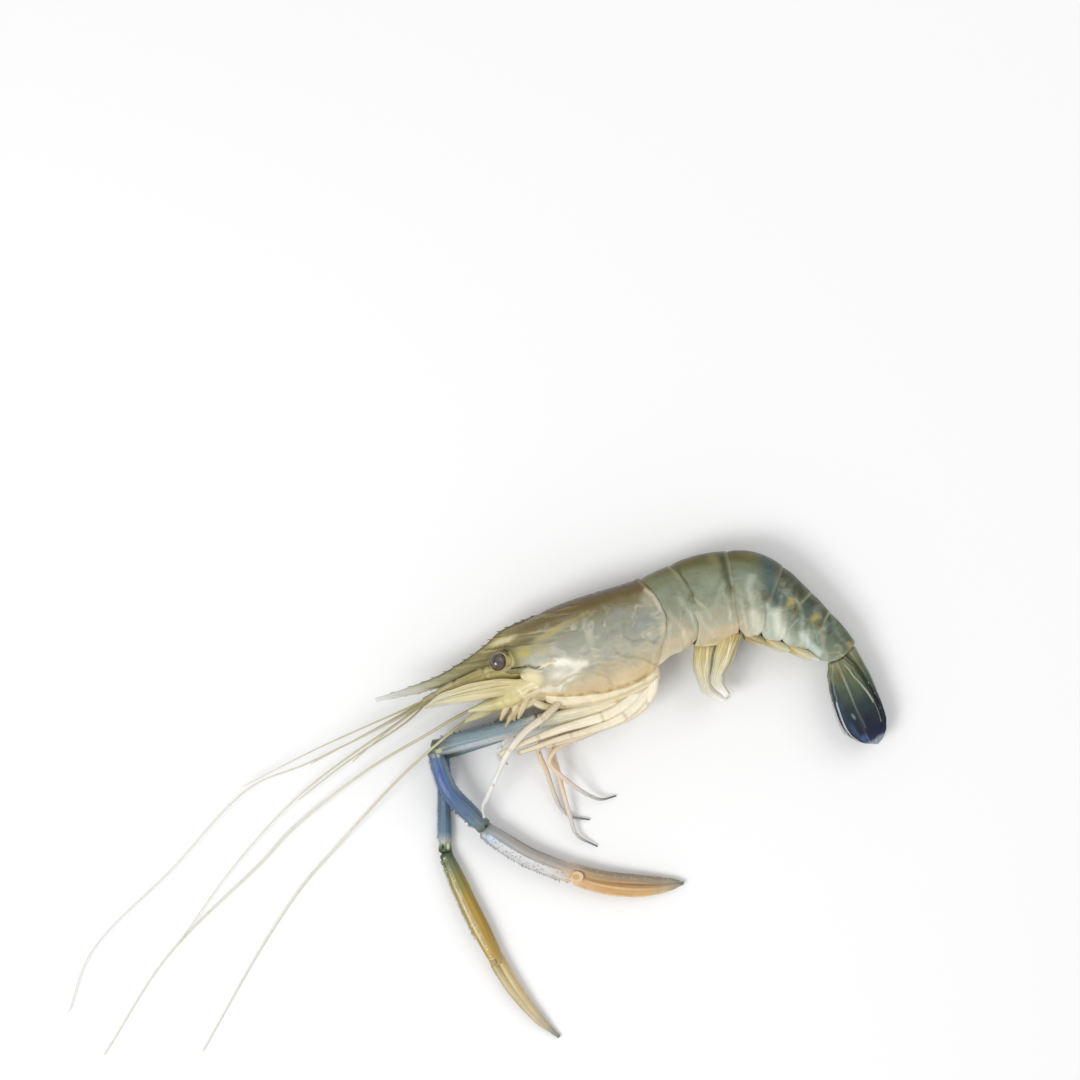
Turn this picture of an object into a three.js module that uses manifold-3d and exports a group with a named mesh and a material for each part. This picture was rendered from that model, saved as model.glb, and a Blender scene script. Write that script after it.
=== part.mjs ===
// A raw giant river prawn lying on its right side, left side up.
// Millimetres. +Z is up off the table, +X runs from the head towards the tail,
// +Y is the animal's back. Nothing on it is drawn as a flat picture: every shell
// plate, leg joint, feeler and tail blade is a closed solid of its own.

import * as THREE from 'three';
import { mergeVertices } from 'three/addons/utils/BufferGeometryUtils.js';
import Module from 'manifold-3d';

const wasm = await Module();
wasm.setup();

// ---------------------------------------------------------------- driving dimensions

const SHELL_GAP = 0.3;          // air left between two neighbouring pieces
const FLAT_SPOT = 0.25;         // how far the resting side is flattened by the table
const END_DOME = 0.25;          // how far the end of a limb bulges, as a part of its half-size
const WIDEST_SIDE = 16.0;       // half the width of the carapace at its widest
const WIDEST_AT = -25;          // where on the body line that is
const MIDLINE_DROP = 0.057;     // how fast the midline sinks towards the slim tail

const EYE_RADIUS = 3.8;
const EYE_SPREAD = 6.6;         // eye centre to midline
const EYE_AT = -69.2;           // where on the body line the eyes are
const EYE_RISE = 1.9;           // how far they stand above it, towards the back
const ROSTRUM_HALF_THICKNESS = 1.5;
const FEELER_BASE_RADIUS = 0.62;
const FEELER_TIP_RADIUS = 0.3;
const FEELERLET_BASE_RADIUS = 0.5;
const FEELERLET_TIP_RADIUS = 0.27;
const WALKING_LEG_RADIUS = 1.9;
const CLAW_BASE_RADIUS = 2.8;

// The body line runs through the middle of the body: how steeply it climbs (in
// degrees above +X) at distances measured along it from the waist, where the
// carapace ends and the abdomen starts.
const BODY_LINE = [
  [-66, 16.5], [-4, 17.5], [11.7, 18], [32.8, 3], [49.5, -22],
  [61.6, -33], [72.9, -36], [84, -44], [92, -68], [130, -69],
];

// Half-sizes of the body across that line: how far the back, the belly and each
// side stand off it.
const BODY_SIZES = [
  { at: -66, back: 13.2, belly: 11.0, side: 6.4 },
  { at: -60, back: 13.8, belly: 15.5, side: 8.8 },
  { at: -52, back: 14.8, belly: 21.2, side: 12.0 },
  { at: -42, back: 17.0, belly: 24.0, side: 14.6 },
  { at: -30, back: 17.7, belly: 26.4, side: 16.0 },
  { at: -18, back: 17.6, belly: 26.8, side: 15.8 },
  { at: -10, back: 17.4, belly: 24.6, side: 15.0 },
  { at: 0, back: 17.7, belly: 16.6, side: 14.4 },
  { at: 11.7, back: 19.4, belly: 18.0, side: 13.9 },
  { at: 24, back: 20.6, belly: 18.2, side: 13.2 },
  { at: 36, back: 20.9, belly: 16.6, side: 12.5 },
  { at: 44, back: 19.6, belly: 16.2, side: 12.0 },
  { at: 55, back: 14.7, belly: 15.3, side: 11.2 },
  { at: 67, back: 11.5, belly: 12.6, side: 9.7 },
  { at: 78, back: 9.3, belly: 8.9, side: 7.7 },
  { at: 88, back: 7.6, belly: 7.4, side: 6.2 },
];

// Edges between neighbouring shell plates: where each one meets the back, the
// side and the belly. The second plate spreads over its neighbours on the flank.
const EDGES = {
  carapaceFront: { back: -66, side: -63.5, belly: -54 },
  carapaceRear: { back: -2, side: 3.5, belly: -9 },
  plate2Front: { back: 11, side: 16.4, belly: 9 },
  plate2Rear: { back: 31.4, side: 33.0, belly: 40.5 },
  plate3Rear: { back: 48.3, side: 48.0, belly: 53.5 },
  plate4Rear: { back: 61, side: 59.2, belly: 65 },
  plate5Rear: { back: 71.6, side: 71.2, belly: 76.5 },
  plate6Rear: { back: 85.6, side: 86.4, belly: 82.6 },
};

// ---------------------------------------------------------------- the body line

const LINE_STEP = 0.25;

function headingAt(at) {
  const next = BODY_LINE.findIndex(([distance]) => distance >= at);
  if (next <= 0) return BODY_LINE[next === 0 ? 0 : BODY_LINE.length - 1][1];
  const [a, headingA] = BODY_LINE[next - 1];
  const [b, headingB] = BODY_LINE[next];
  return headingA + ((headingB - headingA) * (at - a)) / (b - a);
}

function walkLine(at) {
  const steps = Math.max(1, Math.ceil(Math.abs(at) / LINE_STEP));
  const stride = at / steps;
  const point = new THREE.Vector2(0, 0);
  for (let i = 0; i < steps; i += 1) {
    const heading = THREE.MathUtils.degToRad(headingAt((i + 0.5) * stride));
    point.x += stride * Math.cos(heading);
    point.y += stride * Math.sin(heading);
  }
  return point;
}

const midlineHeight = (at) => WIDEST_SIDE - FLAT_SPOT - MIDLINE_DROP * (at - WIDEST_AT);

// A place given on the body: distance along it, height towards the back (minus
// is towards the belly) and offset towards the left side (minus is right).
function onBody(at, rise = 0, left = 0) {
  const line = walkLine(at);
  const heading = THREE.MathUtils.degToRad(headingAt(at));
  return new THREE.Vector3(
    line.x - rise * Math.sin(heading),
    line.y + rise * Math.cos(heading),
    Math.max(0, midlineHeight(at) + left),
  );
}

const smooth = (t) => t * t * (3 - 2 * t);

function sizesAt(at) {
  const clamped = THREE.MathUtils.clamp(at, BODY_SIZES[0].at, BODY_SIZES.at(-1).at);
  const next = Math.max(1, BODY_SIZES.findIndex((row) => row.at >= clamped));
  const a = BODY_SIZES[next - 1];
  const b = BODY_SIZES[next];
  const mix = (key) => THREE.MathUtils.lerp(a[key], b[key], (clamped - a.at) / (b.at - a.at));
  return { back: mix('back'), belly: mix('belly'), side: mix('side') };
}

// ---------------------------------------------------------------- shapes

// Deforms a closed cylinder: place(along, angle) gives the point for a fraction
// of its length and an angle round it, and angle null is the middle of an end.
function sweep(sides, rings, place) {
  const geometry = new THREE.CylinderGeometry(1, 1, 1, sides, rings);
  geometry.deleteAttribute('normal');
  geometry.deleteAttribute('uv');
  const position = geometry.attributes.position;
  for (let i = 0; i < position.count; i += 1) {
    const x = position.getX(i);
    const z = position.getZ(i);
    const along = 0.5 - position.getY(i);
    const angle = Math.hypot(x, z) < 0.5 ? null : Math.atan2(x, z);
    const point = place(along, angle);
    position.setXYZ(i, point.x, point.y, Math.max(0, point.z));
  }
  return mergeVertices(geometry, 1e-4);
}

function signedVolume(position, index) {
  const a = new THREE.Vector3();
  const b = new THREE.Vector3();
  const c = new THREE.Vector3();
  let volume = 0;
  for (let i = 0; i < index.length; i += 3) {
    a.fromBufferAttribute(position, index[i]);
    b.fromBufferAttribute(position, index[i + 1]);
    c.fromBufferAttribute(position, index[i + 2]);
    volume += a.dot(b.cross(c)) / 6;
  }
  return volume;
}

function toSolid(geometry) {
  const index = Uint32Array.from(geometry.index.array);
  if (signedVolume(geometry.attributes.position, index) < 0) index.reverse();
  return new wasm.Manifold(new wasm.Mesh({
    numProp: 3,
    vertProperties: Float32Array.from(geometry.attributes.position.array),
    triVerts: index,
  }));
}

function toGeometry(solid) {
  const mesh = solid.getMesh();
  const geometry = new THREE.BufferGeometry();
  geometry.setAttribute('position', new THREE.BufferAttribute(mesh.vertProperties, 3));
  geometry.setIndex(new THREE.BufferAttribute(mesh.triVerts, 1));
  return geometry;
}

// The part of a direction that is square to a tangent, at length 1.
const squareTo = (tangent, direction) => direction
  .addScaledVector(tangent, -tangent.dot(direction))
  .normalize();

const smoothCurve = (route) => new THREE.CatmullRomCurve3(
  route.map((point) => new THREE.Vector3(...point)), false, 'centripetal',
);

// A limb, feeler or blade: a cylinder bent along a route. wide and thick give its
// half-sizes along it; across, where given, is the direction that wide is measured in.
function limb({ route, wide, thick = wide, across = null, sides = 8, rings = 10 }, grow = 0) {
  const curve = smoothCurve(route);
  const frames = curve.computeFrenetFrames(rings, false);
  const solid = sweep(sides, rings, (along, angle) => {
    const i = Math.round(along * rings);
    const tangent = frames.tangents[i];
    const centre = curve.getPointAt(along);
    if (angle === null) {
      const dome = (along < 0.5 ? -1 : 1) * (END_DOME * Math.min(wide(along), thick(along)) + grow);
      return centre.addScaledVector(tangent, dome);
    }
    const side = across === null ? frames.normals[i] : squareTo(tangent, new THREE.Vector3(...across));
    const over = new THREE.Vector3().crossVectors(tangent, side);
    if (along === 0) centre.addScaledVector(tangent, -grow);
    if (along === 1) centre.addScaledVector(tangent, grow);
    return centre
      .addScaledVector(side, (wide(along) + grow) * Math.cos(angle))
      .addScaledVector(over, (thick(along) + grow) * Math.sin(angle));
  });
  return toSolid(solid);
}

// Half-sizes along a limb from a few values: evenly spaced, joined smoothly.
function taper(...values) {
  const last = values.length - 1;
  return (along) => {
    const place = THREE.MathUtils.clamp(along, 0, 1) * last;
    const i = Math.min(last - 1, Math.floor(place));
    return THREE.MathUtils.lerp(values[i], values[i + 1], smooth(place - i));
  };
}

// The distance along the body of an edge, at an angle from the back (0) round
// the flank (a quarter turn) to the belly (half a turn).
function edgeAt(edge, angle) {
  const lift = Math.cos(angle);
  const end = lift > 0 ? edge.back : edge.belly;
  return THREE.MathUtils.lerp(edge.side, end, lift * lift);
}

// One shell plate of the body between two edges. It is a little slimmer at its
// front, where the plate before it overlaps it.
function plate({ front, rear, sides, rings, tuck = 0.96, fullness = 2.3 }, grow = 0) {
  const power = 2 / fullness;
  return toSolid(sweep(sides, rings, (along, angle) => {
    const reach = SHELL_GAP / 2 - grow;
    const start = (a) => edgeAt(front, a) + reach;
    const end = (a) => edgeAt(rear, a) - reach;
    if (angle === null) return onBody(along < 0.5 ? start(Math.PI / 2) : end(Math.PI / 2), -2, 0);
    const at = THREE.MathUtils.lerp(start(angle), end(angle), along);
    const size = sizesAt(at);
    const scale = THREE.MathUtils.lerp(tuck, 1, smooth(Math.min(1, along * 2)));
    const lift = Math.sign(Math.cos(angle)) * Math.abs(Math.cos(angle)) ** power;
    const swing = Math.sign(Math.sin(angle)) * Math.abs(Math.sin(angle)) ** power;
    const rise = lift * ((lift > 0 ? size.back : size.belly) * scale + grow);
    return onBody(at, rise, swing * (size.side * scale + grow));
  }));
}

const addAll = (solids) => solids.slice(1).reduce((sum, solid) => sum.add(solid), solids[0]);

function largestPiece(solid) {
  const pieces = solid.decompose();
  return pieces.reduce((best, piece) => (piece.volume() > best.volume() ? piece : best));
}

// ---------------------------------------------------------------- head

// The rostrum is a tall thin blade with a saw of teeth along the top and a
// shorter one along the bottom; it rises out of the front half of the carapace.
const ROSTRUM_LINE = [
  [-44, -0.8], [-62, -9.4], [-74.3, -17.6], [-82.7, -22.6], [-91.1, -26.8], [-99.5, -29.7],
  [-107, -31.8], [-113, -33.4], [-118, -34.6],
];
const ROSTRUM_HALF_HEIGHT = taper(4.0, 4.6, 5.0, 3.2, 2.6, 2.2, 1.9, 1.3, 0.35);
const TOP_TEETH = 12;
const BOTTOM_TEETH = 8;
const TOOTH_LENGTH = 3.2;
const TOOTH_RISE = 0.9;

function rostrum(grow = 0) {
  const height = (x) => THREE.MathUtils.mapLinear(x, -44, -118, midlineHeight(-44), midlineHeight(-113));
  const route = ROSTRUM_LINE.map(([x, y]) => [x, y, height(x)]);
  const blade = limb({
    route, across: [0.35, 0.94, 0], sides: 6, rings: 14,
    wide: ROSTRUM_HALF_HEIGHT,
    thick: taper(3.4, 2.6, ROSTRUM_HALF_THICKNESS, 1.2, 1.0, 0.8, 0.5),
  }, grow);
  const curve = smoothCurve(route);
  const tooth = (along, side) => {
    const centre = curve.getPointAt(along);
    const tangent = curve.getTangentAt(along);
    const out = new THREE.Vector3(-tangent.y, tangent.x, 0).multiplyScalar(-side);
    const foot = centre.clone().addScaledVector(out, ROSTRUM_HALF_HEIGHT(along) - 0.9);
    const tip = centre.clone()
      .addScaledVector(out, ROSTRUM_HALF_HEIGHT(along) + TOOTH_RISE)
      .addScaledVector(tangent, TOOTH_LENGTH);
    return limb({
      route: [foot.toArray(), tip.toArray()], sides: 3, rings: 1,
      wide: taper(1.2, 0.12), thick: taper(0.7, 0.12),
    }, grow);
  };
  const teeth = [];
  for (let i = 0; i < TOP_TEETH; i += 1) teeth.push(tooth(0.08 + 0.84 * (i / (TOP_TEETH - 1)) ** 0.9, 1));
  for (let i = 0; i < BOTTOM_TEETH; i += 1) teeth.push(tooth(0.5 + (0.42 * i) / (BOTTOM_TEETH - 1), -1));
  return addAll([blade, ...teeth]);
}

const carapaceShell = (grow) => plate({
  front: EDGES.carapaceFront, rear: EDGES.carapaceRear, sides: 24, rings: 11, tuck: 1, fullness: 2.2,
}, grow);

const carapace = (grow) => carapaceShell(grow).add(rostrum(grow));

function eye(side, grow) {
  const centre = onBody(EYE_AT, EYE_RISE, side * EYE_SPREAD);
  const ball = new THREE.SphereGeometry(EYE_RADIUS + grow, 12, 8);
  ball.deleteAttribute('normal');
  ball.deleteAttribute('uv');
  ball.translate(centre.x, centre.y, centre.z);
  const stalk = limb({
    route: [onBody(-62, 0.6, side * 2.6).toArray(), onBody(-66, 1.2, side * 4.6).toArray(), centre.toArray()],
    wide: taper(1.6, 2.0, 2.6), sides: 8, rings: 3,
  }, grow);
  return toSolid(mergeVertices(ball, 1e-4)).add(stalk);
}

const scaleBlade = (side, grow) => limb({
  route: [
    onBody(-62, -10.2, side * 6.6).toArray(), onBody(-74, -8.2, side * 6.9).toArray(),
    onBody(-86, -6.9, side * 6.3).toArray(), onBody(-97, -6.6, side * 5.5).toArray(),
    onBody(-104, -7.8, side * 5.0).toArray(),
  ],
  across: [0.3, 0.95, 0], wide: taper(2.4, 3.7, 3.7, 2.7, 0.7), thick: taper(1.0, 0.7, 0.55, 0.4),
  sides: 8, rings: 8,
}, grow);

// The two pairs of feelers. Antennules carry three thin ones, antennae one long one.
const FEELER_ROUTES = {
  antennule: {
    left: [
      [[-96.2, -34.0, 23.0], [-106, -38.6, 21.8], [-142, -55, 14], [-175, -72, 6.5]],
      [[-96.2, -34.6, 22.2], [-106, -40.8, 19.8], [-147, -61.7, 11.5], [-172, -72.5, 8.0], [-206, -108, 4.2],
        [-240, -143, 2.2], [-249.5, -168.4, 1.4]],
      [[-96.2, -35.0, 21.6], [-104, -41.0, 18.7], [-116, -50.4, 15.4], [-128, -61, 12.6]],
    ],
    right: [
      [[-96.2, -34.8, 18.0], [-105, -41.6, 15.6], [-149, -73.9, 7.0], [-178.5, -105.4, 3.6],
        [-203.5, -140, 2.8]],
      [[-96.2, -35.6, 17.2], [-105, -43.9, 14.0], [-130, -61, 8.2], [-151.5, -77.8, 4.6]],
      [[-96.2, -34.2, 17.8], [-110, -42.4, 14.4], [-130, -53.5, 9.6], [-146, -62.4, 6.2]],
    ],
  },
  antenna: {
    left: [[-74.4, -37.0, 20.6], [-84, -41.8, 19.2], [-97, -49.6, 16.0], [-122.6, -65.1, 9.4],
      [-155.8, -91.6, 3.6], [-167.2, -104.2, 2.4], [-207.4, -144.4, 0.9], [-234.4, -186.5, 0.7]],
    right: [[-75.4, -39.6, 14.6], [-88.4, -49.9, 18.2], [-107.1, -66.8, 12.4], [-139, -101.6, 2.6],
      [-150.8, -115.5, 1.3], [-167.2, -140.3, 0.8], [-192.4, -184.8, 0.7]],
  },
};

const mark = (side) => (side > 0 ? 'left' : 'right');

function antennule(side, grow) {
  const stem = limb({
    route: [
      onBody(-62, -3.4, side * 2.6).toArray(), onBody(-74, -2.4, side * 2.6).toArray(),
      onBody(-90, -3.0, side * 2.5).toArray(), onBody(-103.4, -5.2, side * 2.4).toArray(),
    ],
    across: [0.3, 0.95, 0], wide: taper(4.0, 3.6, 2.3, 1.4), thick: taper(2.3, 2.3, 1.9, 1.4),
    sides: 8, rings: 7,
  }, grow);
  const lashes = FEELER_ROUTES.antennule[mark(side)].map((route, i) => limb({
    route, wide: taper(FEELERLET_BASE_RADIUS, FEELERLET_TIP_RADIUS), sides: 4, rings: i === 2 ? 10 : 22,
  }, grow));
  return addAll([stem, ...lashes]);
}

function antenna(side, grow) {
  const route = FEELER_ROUTES.antenna[mark(side)];
  const stem = limb({
    route: [
      onBody(-59, -12.4, side * 4.8).toArray(), onBody(-70, -14.0, side * 4.6).toArray(),
      new THREE.Vector3(...route[0]).lerp(new THREE.Vector3(...route[1]), 0.12).toArray(),
    ],
    wide: taper(2.8, 2.6, 1.5), sides: 8, rings: 5,
  }, grow);
  const lash = limb({
    route, wide: taper(FEELER_BASE_RADIUS, 0.5, FEELER_TIP_RADIUS), sides: 5, rings: 26,
  }, grow);
  return addAll([stem, lash]);
}

const MOUTH_LEG_ROUTES = {
  left: [[-50, -34.2, 21.0], [-56, -37.2, 23.4], [-60.6, -40.6, 24.0], [-63.6, -45.6, 23.8]],
  right: [[-50, -34.0, 12.0], [-58, -38.2, 12.0], [-64.0, -40.6, 12.2], [-68.4, -44.4, 12.4]],
};

const mouthLeg = (side, grow) => limb({
  route: MOUTH_LEG_ROUTES[mark(side)], wide: taper(1.9, 1.6, 1.3, 0.5), sides: 7, rings: 8,
}, grow);

// ---------------------------------------------------------------- legs

// Routes of the legs from the breast to the tip. The first pair is thin and ends
// in a small pincer, the second pair carries the long claws, three pairs walk.
const FIRST_LEG_ROUTES = {
  left: [[-40, -34.5, 22.0], [-47, -41.2, 26.4], [-55.4, -47.6, 26.6], [-62.4, -56.4, 25.0],
    [-66.4, -64.5, 21.0], [-71, -75.2, 15.4], [-73.2, -80, 13.6], [-72.7, -84.6, 12.4]],
  right: [[-40, -35.0, 12.5], [-48, -41.0, 12.6], [-58, -47.4, 12.2], [-65, -54.0, 11.2], [-66.4, -59.5, 9.6],
    [-63.0, -62.5, 7.8]],
};
const FIRST_LEG_TAPER = taper(1.5, 1.35, 1.25, 1.1, 0.9, 1.1, 0.35);

const WALKING_LEG_ROUTES = {
  left: [
    [[-12, -33.0, 19.0], [-22, -43.2, 21.6], [-40.7, -47.9, 22.8], [-57.5, -53.6, 22.4], [-66.2, -57.6, 20.2],
      [-61, -55.2, 17.0], [-46, -50.2, 15.8], [-36, -47.4, 15.8]],
    [[-7, -30.0, 19.0], [-13.2, -41.6, 21.4], [-26, -48.4, 21.8], [-40.7, -51.8, 22.4], [-55.4, -57.2, 21.6],
      [-63.4, -61.4, 19.4], [-57, -58.6, 16.6], [-46, -55.6, 16.0]],
    [[-1.5, -23.0, 18.0], [-2.6, -31.4, 19.0], [-9.6, -39.8, 17.2], [-24, -46.6, 17.6], [-37, -51.2, 18.0],
      [-46.4, -54.0, 17.8], [-40, -51.6, 14.2], [-29, -46.6, 14.2]],
  ],
  right: [
    [[-12, -33.0, 12.4], [-20, -41.2, 11.8], [-30, -45.4, 11.4], [-40, -49.2, 10.6], [-49.6, -55.0, 8.6],
      [-46.2, -66, 5.6], [-40.3, -81.5, 2.2], [-36.1, -85.0, 1.5], [-28.1, -86.5, 0.9]],
    [[-7, -30.0, 9.4], [-15, -38.5, 7.8], [-30, -46.2, 6.8], [-43.6, -53.6, 8.0], [-41.4, -66, 7.0],
      [-36.6, -84, 4.4], [-33.4, -92.8, 2.6], [-24.8, -97.9, 0.9]],
    [[-1.5, -23.0, 10.5], [-4.6, -34, 10.6], [-16, -43.2, 11.2], [-30, -49.8, 11.8], [-41.5, -55.0, 12.2],
      [-45.2, -61, 11.6], [-38.0, -69, 9.6], [-28.1, -76.0, 4.6], [-23.1, -77.7, 3.0], [-16.8, -76.4, 1.0]],
  ],
};
const WALKING_LEG_TAPER = taper(WALKING_LEG_RADIUS, 1.85, 1.7, 1.4, 1.1, 1.0, 0.9, 0.3);

const firstLeg = (side, grow) => limb({
  route: FIRST_LEG_ROUTES[mark(side)], wide: FIRST_LEG_TAPER, sides: 6, rings: 16,
}, grow);

const walkingLeg = (side, pair, grow) => limb({
  route: WALKING_LEG_ROUTES[mark(side)][pair], wide: WALKING_LEG_TAPER, sides: 6, rings: 18,
}, grow);

// A long claw, link by link from the breast: base, arm, wrist and palm, and the
// finger that closes on the palm's own fixed finger.
const CLAW_ROUTES = {
  left: {
    base: [[-21, -36.5, 19.6], [-32, -39.8, 21.0], [-49.4, -43.4, 20.6]],
    arm: [[-51.0, -43.7, 20.4], [-72, -49.4, 16.8], [-93.4, -55.3, 12.6]],
    wrist: [[-93.6, -57.0, 12.3], [-87.6, -73, 12.5], [-79.8, -82.0, 9.8], [-73.0, -88.8, 7.0]],
    palm: [[-72.4, -90.6, 6.6], [-54.4, -101.8, 5.4], [-36.0, -109.2, 4.9]],
    palmFinger: [[-37.0, -107.0, 4.9], [-22, -111.0, 4.4], [-4, -112.9, 3.2], [12.8, -112.4, 1.5]],
    finger: [[-34.2, -112.0, 4.8], [-20, -115.6, 4.2], [-4, -116.9, 3.0], [11.8, -114.5, 1.4]],
    armSize: taper(3.3, 3.9, 3.8), wristSize: taper(3.3, 3.5, 3.8, 3.5),
    palmSize: taper(3.8, 4.8, 4.8, 4.4), fingerSize: taper(2.2, 2.1, 1.8, 0.7),
  },
  right: {
    base: [[-21, -36.5, 8.0], [-34, -40.8, 6.2], [-49.4, -44.4, 5.6]],
    arm: [[-51.0, -44.9, 5.4], [-70, -51.0, 4.6], [-89.6, -57.6, 3.9]],
    wrist: [[-90.0, -58.8, 3.7], [-89.8, -80, 3.2], [-89.4, -99.6, 3.2]],
    palm: [[-89.1, -101.0, 3.4], [-81.1, -121.0, 3.6], [-67.2, -146.6, 3.5]],
    palmFinger: [[-66.8, -144.4, 3.5], [-58.4, -158, 3.1], [-48.6, -170.6, 2.2], [-40.6, -178.4, 1.0]],
    finger: [[-68.6, -148.2, 3.5], [-60.8, -160, 3.0], [-50.4, -172.0, 2.1], [-41.8, -179.4, 1.0]],
    armSize: taper(2.8, 3.4, 3.2), wristSize: taper(2.5, 2.6, 2.9),
    palmSize: taper(2.9, 3.5, 3.6, 3.2), fingerSize: taper(1.6, 1.5, 1.1, 0.45),
  },
};

const claw = {
  base: (side, grow) => limb({
    route: CLAW_ROUTES[mark(side)].base, wide: taper(CLAW_BASE_RADIUS, 2.8, 3.1), sides: 9, rings: 6,
  }, grow),
  arm: (side, grow) => limb({
    route: CLAW_ROUTES[mark(side)].arm, wide: CLAW_ROUTES[mark(side)].armSize, sides: 10, rings: 8,
  }, grow),
  wrist: (side, grow) => limb({
    route: CLAW_ROUTES[mark(side)].wrist, wide: CLAW_ROUTES[mark(side)].wristSize, sides: 10, rings: 8,
  }, grow),
  palm: (side, grow) => limb({
    route: CLAW_ROUTES[mark(side)].palm, wide: CLAW_ROUTES[mark(side)].palmSize, sides: 10, rings: 8,
  }, grow).add(limb({
    route: CLAW_ROUTES[mark(side)].palmFinger, wide: CLAW_ROUTES[mark(side)].fingerSize, sides: 8, rings: 8,
  }, grow)),
  finger: (side, grow) => limb({
    route: CLAW_ROUTES[mark(side)].finger, wide: CLAW_ROUTES[mark(side)].fingerSize, sides: 8, rings: 9,
  }, grow),
};

// The breast, between the leg bases, shows as a band under the edge of the carapace.
const BREAST_HALF_WIDTH = 8.0;
const BREAST_DEPTH = 5.0;

const breast = (grow) => toSolid(sweep(12, 7, (along, angle) => {
  const at = THREE.MathUtils.lerp(-56 - grow, -5 + grow, along);
  const size = sizesAt(at);
  const bulge = Math.sin(Math.PI * THREE.MathUtils.lerp(0.18, 0.82, along));
  const middle = -size.belly + 3;
  if (angle === null) return onBody(at, middle, 0);
  return onBody(
    at,
    middle + (BREAST_DEPTH + 3 * bulge + grow) * Math.cos(angle),
    (BREAST_HALF_WIDTH * (0.6 + 0.4 * bulge) + grow) * Math.sin(angle),
  );
}));

// ---------------------------------------------------------------- abdomen and tail

const ABDOMEN_SIDES = 20;
const ABDOMEN = [
  { front: EDGES.carapaceRear, rear: EDGES.plate2Front, rings: 4 },
  { front: EDGES.plate2Front, rear: EDGES.plate2Rear, rings: 5 },
  { front: EDGES.plate2Rear, rear: EDGES.plate3Rear, rings: 5 },
  { front: EDGES.plate3Rear, rear: EDGES.plate4Rear, rings: 4 },
  { front: EDGES.plate4Rear, rear: EDGES.plate5Rear, rings: 4 },
  { front: EDGES.plate5Rear, rear: EDGES.plate6Rear, rings: 5 },
];

const TELSON_LINE = [[86.8, 4.0], [98, 5.4], [108, 6.2], [118, 6.2]];

const telson = (grow) => limb({
  route: TELSON_LINE.map(([at, rise]) => onBody(at, rise).toArray()),
  across: [0, 0, 1], wide: taper(4.4, 4.2, 3.2, 1.4), thick: taper(2.6, 1.9, 1.3, 0.6), sides: 10, rings: 7,
}, grow);

// Each side of the tail fan has an outer and an inner blade, folded over one another.
const TAIL_BLADES = {
  outer: { offset: 5.4, rise: -3.6, length: 38.5, halfWidth: taper(3.6, 6.6, 7.4, 7.2, 6.2, 2.6) },
  inner: { offset: 2.4, rise: -0.6, length: 40, halfWidth: taper(2.0, 5.0, 7.0, 7.8, 6.4, 2.4) },
};

function tailBlade(kind, side, grow) {
  const blade = TAIL_BLADES[kind];
  const route = [0, 0.35, 0.7, 1].map((part) => onBody(
    87.2 + part * blade.length,
    blade.rise + (side < 0 ? -0.9 * Math.sin(Math.PI * part) : 0),
    side * blade.offset * (0.85 + 0.15 * part),
  ).toArray());
  return limb({
    route, across: [Math.cos(THREE.MathUtils.degToRad(21)), Math.sin(THREE.MathUtils.degToRad(21)), 0],
    wide: blade.halfWidth, thick: taper(1.1, 0.8, 0.55, 0.45), sides: 8, rings: 9,
  }, grow);
}

// Swimmerets: the first two pairs hang from the belly, the others lie back along it.
const HANGING_ROUTES = [
  [[20.6, -11.5], [19.2, -23.0], [22.0, -31.8], [28.8, -35.4]],
  [[29.6, -10.5], [26.0, -20.5], [24.9, -28.2], [29.6, -33.2]],
];
const SWIMMERET_LEVELS = [4.2, 6.4];

function swimmeret(pair, side, grow) {
  if (pair < 2) {
    const level = midlineHeight(20) + side * SWIMMERET_LEVELS[pair];
    return limb({
      route: HANGING_ROUTES[pair].map(([x, y]) => [x, y, level]), across: [1, 0, 0],
      wide: taper(4.2, 3.3, 2.3, 0.5), thick: taper(1.0, 0.7, 0.45), sides: 6, rings: 7,
    }, grow);
  }
  const start = [42, 54, 66][pair - 2];
  const belly = (at) => -sizesAt(at).belly;
  return limb({
    route: [
      onBody(start, belly(start) - 0.2, side * 4.4).toArray(),
      onBody(start + 6, belly(start + 6) - 1.6, side * 4.6).toArray(),
      onBody(start + 14, belly(start + 14) - 2.2, side * 4.0).toArray(),
    ],
    across: [0, 0, 1], wide: taper(2.2, 3.0, 0.7), thick: taper(1.2, 0.9, 0.4), sides: 6, rings: 4,
  }, grow);
}

// ---------------------------------------------------------------- putting it together

const SIDES = [1, -1];

const COLOURS = {
  carapace: 0xb9b795, breast: 0xcdb98a, eye: 0x3b2b26, scale: 0xcfc68c, feeler: 0xd8cf9c,
  mouth: 0xd9cfa4, leg: 0xe0d8bb, clawBase: 0xdcd2ac, clawBlue: 0x5e7fa6, clawPalm: 0xa7a49a,
  clawFinger: 0xcaa274, abdomen: 0x8f9d84, rear: 0x6f8b86, tail: 0x2f4460, swimmeret: 0xd6c894,
};

const pieces = [];

// Adds a piece. Where it would touch a piece already added, it is cut back to
// leave the shell gap; list the names of those neighbours in clearOf.
function piece(name, colour, make, clearOf = []) {
  let solid = make(0);
  for (const other of clearOf) {
    solid = solid.subtract(pieces.find((entry) => entry.name === other).make(SHELL_GAP));
  }
  pieces.push({ name, colour, make, solid: largestPiece(solid) });
}

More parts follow.
